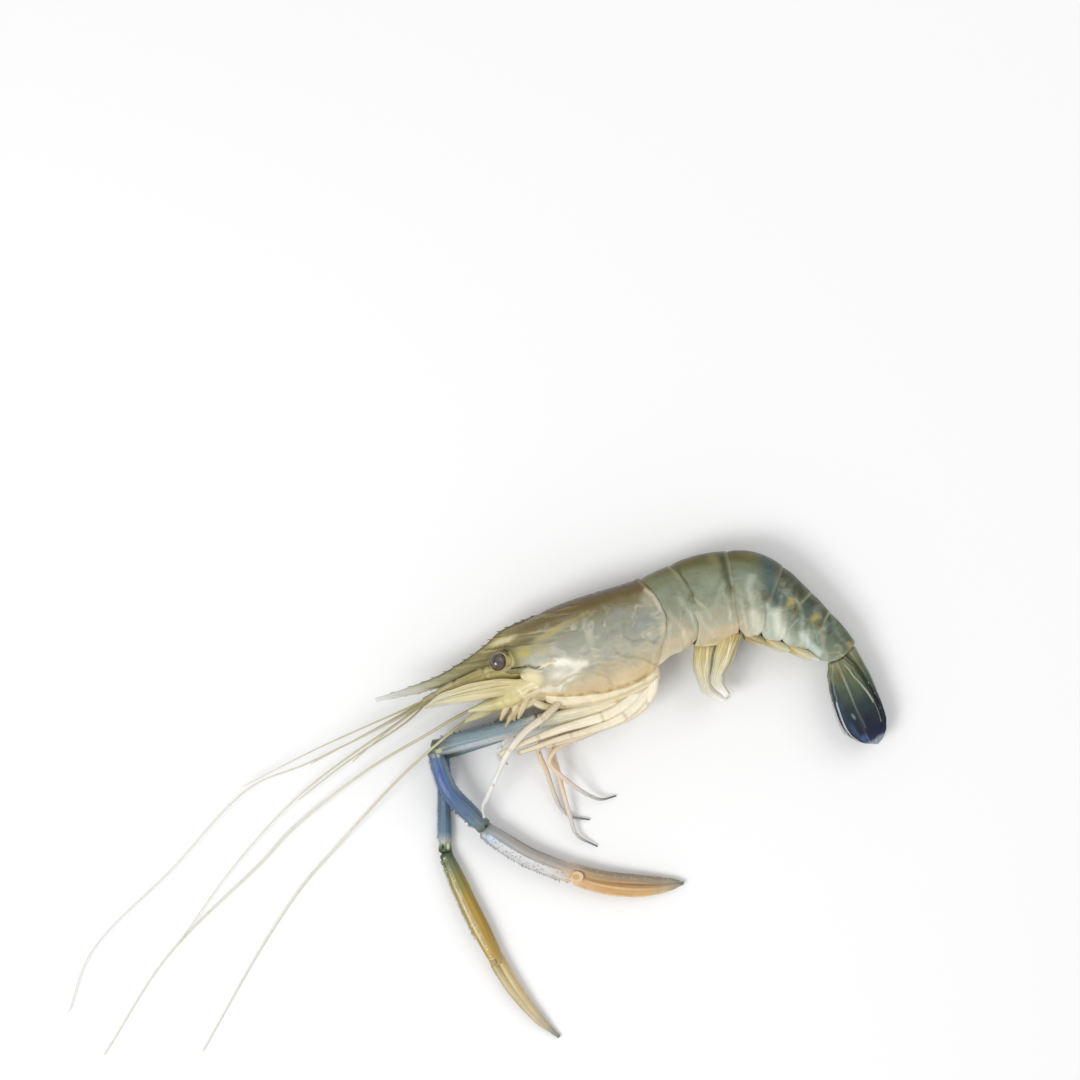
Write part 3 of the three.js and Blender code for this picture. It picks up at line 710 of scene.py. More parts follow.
def smooth_route(route, count):
    """Even points along a smooth line through a route's corners, which rounds them off evenly."""
    corners = [Vector(corner) for corner in route]
    corners = [corners[0] * 2 - corners[1], *corners, corners[-1] * 2 - corners[-2]]
    shares = np.linspace(0, 1, STEPS_BETWEEN_CORNERS)[:, None]
    drawn = []
    for before, a, b, after in zip(corners, corners[1:], corners[2:], corners[3:]):
        gaps = [max((q - p).length ** 0.5, CLOSEST_CORNERS) for p, q in ((before, a), (a, b), (b, after))]
        p0, p1, p2, p3 = (np.array(p) for p in (before, a, b, after))
        leave = ((p1 - p0) / gaps[0] - (p2 - p0) / (gaps[0] + gaps[1]) + (p2 - p1) / gaps[1]) * gaps[1]
        reach = ((p2 - p1) / gaps[1] - (p3 - p1) / (gaps[1] + gaps[2]) + (p3 - p2) / gaps[2]) * gaps[1]
        square = -3 * p1 + 3 * p2 - 2 * leave - reach
        cube = 2 * p1 - 2 * p2 + leave + reach
        drawn.append(p1 + leave * shares + square * shares**2 + cube * shares**3)
    drawn = np.concatenate([part[:-1] for part in drawn[:-1]] + [drawn[-1]])
    lengths = np.concatenate([[0], np.cumsum(np.linalg.norm(np.diff(drawn, axis=0), axis=1))])
    even = np.linspace(0, lengths[-1], count)
    return np.stack([np.interp(even, lengths, drawn[:, k]) for k in range(3)], axis=1), lengths[-1]


def taper(values, along):
    """Half-sizes along a limb from evenly spaced values, joined smoothly."""
    place = np.clip(along, 0, 1) * (len(values) - 1)
    low = np.minimum(place.astype(int), len(values) - 2)
    share = place - low
    values = np.asarray(values, float)
    return values[low] + (values[low + 1] - values[low]) * share * share * (3 - 2 * share)


def unit(vectors):
    """The same directions, each with a length of 1."""
    return vectors / np.maximum(np.linalg.norm(vectors, axis=1, keepdims=True), 1e-9)


forms = {}


def limb(name, route, wide, thick=None, across=None, sides=12, rings=24, shape=None, dome=0.6):
    """A closed limb along a route: wide and thick are half-sizes in mm, shape may change them."""
    thick = wide if thick is None else thick
    middle, length = smooth_route(route, rings + 1)
    ahead = unit(np.gradient(middle, axis=0))
    if across is None:
        level = np.cross((0, 0, 1.0), ahead)
    else:
        level = np.tile(np.array(across, float), (rings + 1, 1))
    level = unit(level - ahead * np.sum(level * ahead, axis=1, keepdims=True))
    over = np.cross(ahead, level)
    piece, along, angle = extruded(name, sides, rings + 2)
    ring = np.round(along * (rings + 2)).astype(int)
    inner = np.clip(ring - 1, 0, rings)
    at = inner / rings
    w, t = taper(wide, at), taper(thick, at)
    if shape:
        w, t = shape(at * length, angle, w, t)
    end = (ring == 0) | (ring == rings + 2)
    shrink = np.where(end, END_SHRINK, 1.0)
    push = np.where(ring == 0, -1, np.where(ring == rings + 2, 1, 0)) * dome * np.minimum(w, t)
    points = middle[inner] + ahead[inner] * push[:, None]
    points += level[inner] * (w * shrink * np.cos(angle))[:, None]
    points += over[inner] * (t * shrink * np.sin(angle))[:, None]
    place_points(piece, on_table(points))
    note(piece, "on_limb", np.stack([at * length, np.cos(angle), np.sin(angle)], axis=1))
    forms[piece.name] = (middle, ahead, level, over, wide, thick, length)
    return piece


def on_skin(piece, far, turn, sink):
    """Points, outward directions and forward directions on a limb, at distances in mm and angles round it."""
    middle, ahead, level, over, wide, thick, length = forms[piece.name]
    share = np.asarray(far, float) / length
    ring = share * (len(middle) - 1)
    centre, forward, sideways, upward = (
        np.stack([np.interp(ring, np.arange(len(rows)), rows[:, k]) for k in range(3)], axis=1)
        for rows in (middle, ahead, level, over)
    )
    cosine, sine = np.cos(turn)[:, None], np.sin(turn)[:, None]
    out = unit(sideways * cosine + upward * sine)
    w, t = taper(wide, share)[:, None] - sink, taper(thick, share)[:, None] - sink
    return centre + sideways * cosine * w + upward * sine * t, out, forward


print("limbs can be laid along a route")

# %% Small parts, modelled once and copied
SKEW = (0.31, 0.52, 0.8)


def template(name, sides, profile):
    """A small part that stands on the origin: profile is (height, radius) from foot to tip, ending at 0."""
    pick_nothing()
    bpy.ops.mesh.primitive_circle_add(vertices=sides, radius=profile[0][1], fill_type="NOTHING")
    part = bpy.context.object
    part.name = name
    bpy.ops.object.mode_set(mode="EDIT")
    bpy.ops.mesh.select_all(action="SELECT")
    for (low, wide), (high, slim) in zip(profile, profile[1:]):
        bpy.ops.mesh.extrude_region_move(TRANSFORM_OT_translate={"value": (0, 0, high - low)})
        bpy.ops.transform.resize(value=(slim / wide, slim / wide, 1))
    bpy.ops.mesh.merge(type="CENTER")
    bpy.ops.object.mode_set(mode="OBJECT")
    face_out(part)
    corners = np.array([v.co for v in part.data.vertices])
    faces = [tuple(face.vertices) for face in part.data.polygons]
    bpy.data.objects.remove(part)
    return corners, faces


def copies(name, part, feet, ups, sizes, title, places):
    """Copies of a small part, joined: feet in mm, ups point out of the skin, sizes are (across, tall), and
    each copy notes its own place under a title."""
    corners, faces = part
    feet, ups = np.asarray(feet, float), unit(np.asarray(ups, float))
    side = unit(np.cross(ups, SKEW))
    front = np.cross(side, ups)
    sizes = np.asarray(sizes, float)
    local = corners[None] * np.stack([sizes[:, 0], sizes[:, 0], sizes[:, 1]], axis=1)[:, None]
    points = feet[:, None] + local[..., :1] * side[:, None] + local[..., 1:2] * front[:, None]
    points = on_table((points + local[..., 2:] * ups[:, None]).reshape(-1, 3))
    count = len(corners)
    mesh = bpy.data.meshes.new(name)
    repeated = [tuple(k + i * count for k in face) for i in range(len(feet)) for face in faces]
    mesh.from_pydata((points * MM).tolist(), [], repeated)
    made = bpy.data.objects.new(name, mesh)
    bpy.context.scene.collection.objects.link(made)
    note(made, "spine", np.tile(corners[:, 2] / corners[:, 2].max(), len(feet)))
    note(made, title, np.repeat(np.asarray(places), count, axis=0))
    return made


SPINE = template("spine", 5, ((-0.25, 0.5), (0.2, 0.42), (0.7, 0.16), (1.0, 0.02)))
HAIR = template("hair", 3, ((-0.02, 0.5), (0.6, 0.3), (1.0, 0.02)))
print("spine faces:", len(SPINE[1]), "hair faces:", len(HAIR[1]))

# %% [markdown]
# ## The head shell
# The carapace is one stiff shell over the head and gills, and its back runs forward into a tall thin saw,
# the rostrum. A boolean union would leave a sharp seam between body and saw. Here both are extruded,
# joined, and remeshed into one skin of small even faces, so that the saw grows out of the back softly.

# %% Shell of the head, straight
EDGES = {
    "head_front": (-66, -63.5, -54), "head_rear": (-2, 3.5, -9), "plate_1": (11, 16.4, 9),
    "plate_2": (31.4, 33.0, 40.5), "plate_3": (48.3, 48.0, 53.5), "plate_4": (61, 59.2, 65),
    "plate_5": (71.6, 71.2, 76.5), "plate_6": (85.6, 86.4, 82.6),
}
SHELL_GAP = 0.3
EDGE_SHARPNESS = 2
FRONT_SHARPNESS = 4.5


def edge_at(edge, angle):
    """Where an edge is along the body, at an angle from the back round the flank to the belly."""
    back, side, belly = EDGES[edge]
    lift = np.cos(angle)
    sharpness = FRONT_SHARPNESS if edge == "head_front" else EDGE_SHARPNESS
    return side + (np.where(lift > 0, back, belly) - side) * np.abs(lift) ** sharpness


def squarish(angle, fullness):
    """Cosine and sine of an angle, for an oval that is fuller than an ellipse."""
    power = 2 / fullness
    lift, swing = np.cos(angle), np.sin(angle)
    return np.sign(lift) * np.abs(lift) ** power, np.sign(swing) * np.abs(swing) ** power


HEAD_SIDES = 72
HEAD_RINGS = 54
HEAD_FULLNESS = 2.2
FRONT_ROUNDING = 2.4
FRONT_FLATTENING = 0.6

head, along, angle = extruded("head_shell", HEAD_SIDES, HEAD_RINGS)
start = edge_at("head_front", angle) + SHELL_GAP / 2
stop = edge_at("head_rear", angle) - SHELL_GAP / 2
at = start + (stop - start) * along
back, belly, side = size_at(at)
lift, swing = squarish(angle, HEAD_FULLNESS)
fill = np.sqrt(1 - np.clip(1 - (at - start) / FRONT_ROUNDING, 0, 1) ** 2 * FRONT_FLATTENING)
place_points(head, straighten(at, lift * np.where(lift > 0, back, belly) * fill, swing * side * fill))
print("head shell:", len(head.data.vertices), "points")

# %% The saw on its back
SAW_LINE = (
    (-44, -0.8), (-62, -9.4), (-74.3, -17.6), (-82.7, -22.6), (-91.1, -26.8), (-99.5, -29.7),
    (-107, -31.8), (-113, -33.4), (-118, -34.6),
)
SAW_HALF_HEIGHT = (4.0, 4.8, 5.2, 3.8, 3.2, 2.7, 2.3, 1.7, 1.0)
SAW_HALF_WIDTH = (3.4, 2.6, 1.5, 1.2, 1.0, 0.8, 0.5)
SAW_ENDS = (-118, -44)
SAW_LOWEST_AT = -113
SAW_EDGE = 0.62

SKIN_GRAIN = 0.45
SOCKET_ROUTE = ((-56, -0.5, 0.0), (-66, -0.6, 0.0), (-74, -2.4, 0.0), (-84, -3.8, 0.0))
SOCKET_HALF_HEIGHT = (7.0, 6.6, 4.4, 2.0)
SOCKET_HALF_WIDTH = (7.4, 6.2, 4.0, 1.6)

saw_places = np.array([body_place(x, y) for x, y in SAW_LINE])
saw_levels = [midline_height(at) for at in (SAW_LOWEST_AT, SAW_ENDS[1])]
saw_lift = np.interp([x for x, _ in SAW_LINE], SAW_ENDS, saw_levels)
saw_route = straighten(*saw_places.T, saw_lift - midline_height(saw_places[:, 0]))
saw = limb(
    "saw", saw_route, SAW_HALF_HEIGHT, SAW_HALF_WIDTH, across=(0, 1, 0), sides=20, rings=90,
    shape=lambda far, turn, w, t: (w, t * (SAW_EDGE + (1 - SAW_EDGE) * np.abs(np.sin(turn)) ** 0.5)),
)
socket_route = straighten(*np.array(SOCKET_ROUTE).T)
socket = limb(
    "socket", socket_route, SOCKET_HALF_HEIGHT, SOCKET_HALF_WIDTH, across=(0, 1, 0), sides=28, rings=30,
)
join(head, saw, socket)
modify(head, "REMESH", mode="VOXEL", voxel_size=SKIN_GRAIN * MM)
modify(head, "SMOOTH", factor=0.5, iterations=5)
print("head shell and saw:", len(head.data.vertices), "points")

# %% [markdown]
# ## Folds and beads on the head shell
# A prawn's head shell is creased behind the eye, thickened into a pale bead along its open edges, and
# swells over the gills. Sculpting these by hand would not be repeatable. Each one is a line of places on
# the body: points near the line move along their normals, and keep their nearness, so that the same line
# can later be painted.

# %% Folds and beads
EYE_CREASE = ((-64.5, -2.6), (-61.2, -3.2), (-57.8, -3.3), (-55, -5), (-52.2, -5.8))
FRONT_BEAD = ((-61.5, -7.4), (-61, -11.5), (-60, -15.7), (-57.2, -19), (-53.5, -21))
PALE_STREAK = ((-48, -2.4), (-45, -3.2), (-42, -5), (-39.2, -7.2), (-35.5, -10))
GILL_FOLD = ((-52, -14.6), (-48, -12.4), (-42, -9.5), (-36, -9.5))
GILL_LINE = ((-36, -9.5), (-28, -10.5), (-20, -9.5), (-12, -6.5), (-5, -3))
BROW = ((-64.8, 5.3), (-63.5, 3.7), (-63.2, 0.5), (-64.5, -1.8))
SOCKET_HOLLOW = ((-69.2, 1.9), (-68.6, 1.8))
REAR_RIM_INSET = 1.4
REAR_GROOVE_INSET = 3.2
RIM_SHARE = 0.86
RIDGE_DEPTH = 0.9
BELOW_RIM = (0.885, 0.935)
FRONT_OF_SKIN = -58


def ease(value, low, high):
    """0 below low, 1 above high, and smooth between them."""
    share = np.clip((value - low) / (high - low), 0, 1)
    return share * share * (3 - 2 * share)


def band_at(value, middle, width):
    """1 at a value, fading to 0 over a width on both sides."""
    return np.exp(-(((value - middle) / width) ** 2))


raise_line(head, SOCKET_HOLLOW, 4.4, -1.2)
raise_line(head, EYE_CREASE, 0.6, -0.35)
raise_line(head, shifted(EYE_CREASE, rise=-1.3), 1.1, 0.25)
front_bead = raise_line(head, FRONT_BEAD, 0.7, 0.3)
raise_line(head, PALE_STREAK, 1.3, 0.28)
raise_line(head, BROW, 0.7, 0.4)
raise_line(head, GILL_FOLD, 2.2, 0.3)
raise_line(head, GILL_LINE, 1.4, -0.28)
at, rise, left = body_places(head)
turn = np.arctan2(np.abs(left), rise)
from_rear = edge_at("head_rear", turn) - at
rear_bead = band_at(from_rear, REAR_RIM_INSET, 0.7) * (rise > -24)
low_rim = [(a, -size_at(a)[1] * RIM_SHARE) for a in range(-56, -4, 4)]
low_bead = raise_line(head, low_rim, 0.9, 0.3)
raise_line(head, shifted(low_rim, rise=2.0), 0.9, -0.22)
push_out(head, rear_bead * 0.14 - band_at(from_rear, REAR_GROOVE_INSET, 0.9) * 0.12)
print("folds and beads on the head shell")

# %% Note the edges for the paint
slices = np.round(at - at.min()).astype(int)
tops = np.full(slices.max() + 1, rise.min())
np.maximum.at(tops, slices, rise)
below_top = np.interp(at, np.arange(len(tops)) + at.min(), tops) - rise
note(head, "pale", np.clip(front_bead * 0.8 + rear_bead * 0.25, 0, 1))
note(head, "ridge", band_at(below_top, 0, RIDGE_DEPTH))
note(head, "under", ease(-rise / size_at(at)[1], *BELOW_RIM) * (at > FRONT_OF_SKIN))
note(head, "rim", low_bead)
bend(head)
print("folded head shell:", len(head.data.vertices), "points")

# %% Teeth along the saw
TOP_TEETH = (-113.5, -107, -101.5, -97, -91.5, -87, -82, -78.5, -73, -69.5, -65, -61.5, -57, -53.5, -49)
LOW_TEETH = (-110, -104.5, -99, -93.5, -88.5, -84)
TOP_TOOTH = (0.6, 1.7)
LOW_TOOTH = (0.5, 1.2)
TOOTH_LEAN = 0.24
TOOTH_SINK = 0.3
TOOTH = template("tooth", 7, ((-0.3, 0.55), (0.1, 0.5), (0.5, 0.3), (0.85, 0.1), (1.0, 0.02)))


def skin_at(piece, at, top):
    """The highest or lowest point of a bent body piece near a distance along the body."""
    places = np.empty(len(piece.data.vertices) * 3, np.float32)
    piece.data.attributes["on_body"].data.foreach_get("vector", places)
    places = places.reshape(-1, 3)
    near = np.flatnonzero(np.abs(places[:, 0] - at) < 0.6)
    best = near[np.argmax(places[near, 1] * (1 if top else -1))]
    return points_of(piece)[best], places[best]


feet, ups, sizes, noted = [], [], [], []
for row, top in ((TOP_TEETH, True), (LOW_TEETH, False)):
    for i, at in enumerate(row):
        foot, place = skin_at(head, at, top)
        turn = heading(at)
        out = 1 if top else -1
        ahead = Vector((-math.cos(turn), -math.sin(turn), 0))
        outward = Vector((-math.sin(turn), math.cos(turn), 0)) * out
        feet.append(foot - np.array(outward) * TOOTH_SINK)
        ups.append(ahead + outward * TOOTH_LEAN)
        sizes.append(TOP_TOOTH if top else LOW_TOOTH)
        noted.append(place)
teeth = copies("saw_teeth", TOOTH, feet, ups, sizes, "on_body", noted)
join(head, teeth)
print("teeth on the saw:", len(feet))

# %% [markdown]
# ## The paint of the head shell
# The shell is nearly clear. Olive pigment sits along the back, a grey-green cast over the gills, peach
# flesh shines through low on the flank, and the thickened edges are cream. An image would fix all of this
# at one size, so it is laid down as soft patches at places on the body, over a run of colours from belly
# to back, with light passing a little way into the shell.

# %% Patches and lines over a colour
WAVER_SCALE = 0.24
WAVER_DETAIL = 3.0
WAVER_REACH = 1.6


def patch(paint, place, colour, at, rise, long, tall, tint, share, softness=0.9, turn=0):
    """Lays one soft patch over a colour, with its reaches in mm and its turn in degrees."""
    mask = use_group(
        paint, "patch", Place=place, Centre=(at, rise, 0), Reach=(long, tall, 100), Turn=math.radians(-turn),
        Softness=softness,
    )
    return paint.lay(colour, tint, mask, share)


def spots(paint, place, colour, rows):
    """Lays soft patches over a colour. A row is (at, rise, reach along, reach up, tint, share), and then a
    softness and a turn where they differ from the usual ones."""
    for row in rows:
        colour = patch(paint, place, colour, *row)
    return colour


def strokes(paint, place, colour, rows):
    """Draws soft lines through corners over a colour. A row is (width, tint, share, (at, rise) corners)."""
    for width, tint, share, corners in rows:
        mask = 0.0
        for start, end in zip(corners, corners[1:]):
            drawn = use_group(paint, "line", Place=place, Start=(*start, 0), End=(*end, 0), Width=width)
            mask = paint.math("MAXIMUM", mask, drawn)
        colour = paint.lay(colour, tint, mask, share)
    return colour


def body_frame(paint):
    """The body place without its side offset, so both flanks are painted alike, and the same place shifted
    a little here and there, so that edges painted on it waver; then the whole place, at and rise."""
    place = paint.noted("on_body", "Vector")
    at, rise, _ = paint.parts(place)
    flat = paint.combine(at, rise, 0.0)
    wander = paint.noise(flat, WAVER_SCALE, WAVER_DETAIL, output="Color")
    shift = paint.vector("SUBTRACT", wander, (0.5, 0.5, 0.5))
    swing = paint.vector("MULTIPLY", shift, (WAVER_REACH, WAVER_REACH, 0.0))
    return flat, paint.vector("ADD", flat, swing), place, at, rise


# %% Wet shell
WETNESS = {
    "Subsurface Weight": 0.2, "Subsurface Radius": (1.0, 0.8, 0.6), "Subsurface Scale": 0.8 * MM,
    "Coat Weight": 0.12, "Coat Roughness": 0.12, "IOR": 1.36,
}
WET_SCALE = 0.35
WET_DETAIL = 3.0
WET_RANGE = (0.35, 0.65)
GLOSS_SWING = (-0.08, 0.1)


def wet_shell(paint, colour, place, grain=1.1, gloss=0.34, depth=0.1):
    """Finishes shell: fine relief, wet gloss and light that enters the skin."""
    height = use_group(paint, "shell_relief", Place=place, Scale=grain)
    wet = paint.noise(place, WET_SCALE, WET_DETAIL)
    roughness = paint.spread(wet, *WET_RANGE, *(gloss + swing for swing in GLOSS_SWING))
    return paint.finish(colour, roughness, height, 0.2, depth, WETNESS)


print("patches, lines and wet shell ready")

# %% Colours of the head shell from belly to back
paint = Finish("carapace_shell")
flat, loose, place, at, rise = body_frame(paint)
_, loose_rise, _ = paint.parts(loose)
# From belly to back. The two lowest stops darken where the shell rolls under at its lower rim; that darkening
# is painted shade.
colour = paint.ramp(
    loose_rise,
    ((-30, 196, 172, 130), (-26, 212, 192, 150), (-23, 224, 203, 165), (-18, 208, 190, 157),
     (-14, 191, 180, 152), (-8, 180, 177, 158), (0, 160, 161, 147), (6, 148, 147, 128), (11, 128, 119, 92),
     (14.5, 110, 96, 64), (18, 90, 76, 48)),
)
saw_run = paint.ramp(
    at,
    ((-122, 214, 213, 208), (-114, 200, 201, 197), (-107, 194, 193, 184), (-100, 176, 176, 154),
     (-93, 158, 155, 126), (-85, 146, 142, 108), (-76, 144, 136, 102), (-58, 146, 136, 96)),
)
colour = paint.lay(colour, saw_run, paint.spread(at, -50, -66, smooth=True))
on_back = paint.times(paint.spread(rise, 1, 6), paint.spread(at, -28, -46))
on_saw = paint.times(paint.spread(at, -60, -70), paint.spread(at, -122, -100, 0.25, 1.0))
fibred = paint.math("MAXIMUM", on_back, on_saw)
for tint, share, along, across, low, high in (
    ((196, 184, 140), 0.6, 0.05, 0.8, 0.5, 0.66), ((104, 96, 62), 0.7, 0.06, 1, 0.54, 0.7),
):
    fibres = use_group(paint, "streaks", Place=loose, Turn=0.14, Along=along, Across=across, Low=low, High=high)
    colour = paint.lay(colour, tint, fibres, fibred, share)
print("base colours of the head shell")

# %% Clouds in the flank
cloud_place = paint.vector("MULTIPLY", loose, (1.0, 1.5, 1.0))
milk_place = paint.vector("ADD", cloud_place, (70, 40, 0))
slate = paint.spread(paint.noise(cloud_place, 0.085, 3.0, 1.6), 0.5, 0.62, smooth=True)
milk = paint.spread(paint.noise(milk_place, 0.075, 4.0, 2.2), 0.52, 0.66, smooth=True)
in_flank = paint.times(paint.spread(rise, -20, -8), paint.spread(rise, 13, 6))
flank = paint.times(in_flank, paint.spread(at, -52, -44))
colour = paint.lay(colour, (150, 154, 148), slate, flank, 0.6)
colour = paint.lay(colour, (206, 202, 184), milk, flank, 0.5)
FLANK_SPOTS = (
    (-58, 6.4, 16, 2.2, (112, 106, 76), 0.75, 0.9, 4),
    (-52, 12.4, 14, 2.4, (118, 105, 72), 0.7, 0.9, 4),
    (-65, 9.6, 9, 2, (214, 202, 164), 0.95, 0.8, 4),
    (-44, 7.6, 12, 1.9, (190, 177, 132), 0.8, 0.9, 12),
    (-57.6, 2.2, 5, 3.2, (178, 168, 102), 0.9),
    (-50, 1, 6, 3, (186, 174, 126), 0.6),
    (-57.5, -9.5, 5.6, 6.4, (226, 214, 172), 0.9, 0.7),
    (-53.5, -15.4, 7, 3, (234, 224, 204), 0.9, 0.8, 10),
    (-47.5, -15.5, 4, 3.2, (234, 230, 216), 0.8),
    (-44, -11.5, 8, 4.2, (222, 218, 202), 0.7, 0.9, -20),
    (-42.2, 2, 4.2, 4.4, (158, 158, 146), 0.85, 0.9, 20),
    (-38.5, -4.9, 4, 3, (176, 176, 166), 0.6),
    (-5.6, 0.9, 7.5, 5, (144, 149, 142), 0.85),
    (-10.5, -2.6, 6, 3.4, (150, 152, 144), 0.7),
    (-21.8, -0.6, 6.5, 3.6, (152, 150, 140), 0.7, 0.9, -10),
    (-25, -7.4, 5, 4.4, (168, 168, 156), 0.7),
    (-29.6, 2, 2.6, 11, (188, 188, 170), 0.7),
    (-41.5, -8.6, 9, 2.6, (206, 203, 190), 0.8, 0.9, -30),
    (-34, -20.6, 12, 3.6, (200, 178, 146), 0.7, 0.9, -8),
    (-12, -20, 11, 4.6, (212, 192, 150), 0.8, 0.9, 8),
    (-2, 8.5, 4.4, 5.6, (180, 173, 150), 0.6),
    (1, -8, 3.4, 9, (206, 194, 156), 0.6),
)
colour = spots(paint, loose, colour, FLANK_SPOTS)
print("clouds and patches in the flank")

# %% Lines on the head shell
HEAD_LINES = (
    (2.8, (240, 234, 220), 0.85, ((-46, -5.2), (-42, -5.6), (-38.6, -7.8), (-34.6, -9))),
    (2.4, (232, 227, 212), 0.75, ((-37.5, -8.4), (-39.2, -11.1), (-43, -13.4))),
    (1, (178, 176, 150), 0.7, ((-50.2, -14.2), (-47.8, -14.3), (-44.2, -12.8), (-39.5, -12.3), (-35, -12.4))),
    (0.9, (180, 178, 152), 0.7, ((-47.2, -17), (-45.8, -15.6), (-41.5, -14.9))),
    (1.3, (140, 138, 122), 0.45, ((-14.5, 1.9), (-16.2, -2.7), (-12.5, -6.1), (-7.8, -7.3), (-3.5, -10))),
    (1.3, (154, 147, 124), 0.45, ((-21.5, -6.2), (-20.2, -9.9), (-16.2, -11.8), (-10.8, -14.5), (-6.8, -18.6))),
    (1.3, (166, 158, 134), 0.45, ((-30, -10.7), (-26.2, -13.1), (-22.5, -13.1))),
    (1.3, (176, 162, 132), 0.5, ((-31.2, -14.2), (-27.5, -17.3), (-26.2, -22.2))),
    (1.4, (138, 134, 114), 0.45, ((-29.8, 4.7), (-28.5, 6.9), (-23.2, 9.1), (-18, 9.4), (-12.5, 10.3))),
    (1.4, (144, 142, 128), 0.45, ((-20.2, 0.4), (-14.8, 1.3), (-9.2, 0.3))),
    (1.6, (206, 198, 178), 0.6, ((-1.5, 12.7), (0.8, 9.4), (2.2, 3))),
    (1.3, (168, 154, 108), 0.6, ((-52, 5.1), (-43.8, 7.7), (-34, 9.9), (-27.2, 11))),
    (1.6, (230, 216, 172), 0.9,
     ((-61.4, -6.8), (-60.4, -10.9), (-58.8, -14.4), (-55.8, -17.4), (-51.4, -19.4))),
    (1, (232, 222, 186), 0.8, ((-53, -4.9), (-49.2, -4.4), (-46, -5.2))),
    (0.8, (190, 172, 120), 0.7, ((-53, -4.5), (-49.2, -4), (-46, -4.6))),
)
CREASE_SHADE_AND_BROW_LINES = (
    # The first two lines are painted shade in the crease behind the eye; the last two mark the brow.
    (0.62, (52, 42, 24), 1, ((-64.5, -2.5), (-61, -3), (-58.2, -3.3))),
    (0.5, (70, 58, 34), 0.95, ((-57.4, -3.2), (-56, -4.4), (-54.8, -5.1), (-53, -4.9))),
    (0.8, (88, 74, 44), 0.85, ((-65.2, 5.7), (-64.2, 4.6), (-63.4, 3.4))),
    (0.8, (196, 182, 128), 0.8, ((-63.6, 4.2), (-62.9, 1.2), (-63.8, -1.4))),
)
colour = strokes(paint, loose, colour, HEAD_LINES)
colour = strokes(paint, flat, colour, CREASE_SHADE_AND_BROW_LINES)
print("lines on the head shell:", len(HEAD_LINES) + len(CREASE_SHADE_AND_BROW_LINES))

# %% Rim, ridge and the skin under the shell
rim_blots = paint.spread(paint.noise(flat, 0.3, 3.0), 0.46, 0.62)
rim_tint = paint.lay(ink(206, 184, 136), (168, 140, 96), rim_blots)
skin_blots = paint.spread(paint.noise(flat, 0.2, 3.0), 0.52, 0.68)
skin_tint = paint.lay(ink(232, 223, 196), (206, 182, 142), skin_blots)
dots = use_group(paint, "specks", Place=place, Scale=1.7, Share=0.45)
colour = paint.lay(colour, rim_tint, paint.noted("rim"), 0.85)
colour = paint.lay(colour, skin_tint, paint.noted("under"))
colour = paint.lay(colour, (222, 212, 178), paint.noted("pale"), 0.6)
colour = paint.lay(colour, (84, 74, 46), paint.noted("ridge"), paint.spread(at, -116, -92, 0.0, 0.75))
colour = paint.lay(colour, (98, 88, 56), dots, paint.spread(at, -48, -66, 0.08, 0.4))
colour = paint.lay(colour, (64, 54, 34), paint.noted("spine"), 0.8)
colour = use_group(paint, "mottling", Colour=colour, Place=place, Scale=0.22, Strength=0.3)
dress(head, wet_shell(paint, colour, place), "carapace_shell", "carapace")

# %% [markdown]
# ## The abdomen
# Six hoops of shell cover the tail meat. Each tucks under the one in front on the back, and the second
# also spreads over both neighbours low on the flank, which is how a freshwater prawn differs from a sea
# prawn. One thick tube with grooves would look carved. Here each hoop is an open band with its own wall,
# so the overlaps are real, and a smooth body of flesh inside closes the gaps that the hoops leave.

# %% Hoops of shell
HOOP_SIDES = 96
HOOP_RINGS = 22
HOOP_FULLNESS = 2.3
HOOP_WALL = 0.45
HINGE_RADIUS = 1.6
FOLD_WIDTH = 0.9
TUCK = 0.945
TUCK_DEPTH = 3.2
TUCK_SLOPE = 3.5
FLARE = 1.012
HOOP_SHARE = 0.985
HOOP_OVERHANG = 0.35
FLANK_TURN = (0.45 * math.pi, 0.62 * math.pi)
LOBE_START = 0.64 * math.pi
LOBE_END = 0.85 * math.pi
HOLLOW_END = 0.97 * math.pi
HOOPS = (
    ("abdomen_1", "head_rear", "plate_1"), ("abdomen_2", "plate_1", "plate_2"),
    ("abdomen_3", "plate_2", "plate_3"), ("abdomen_4", "plate_3", "plate_4"),
    ("abdomen_5", "plate_4", "plate_5"), ("abdomen_6", "plate_5", "plate_6"),
)


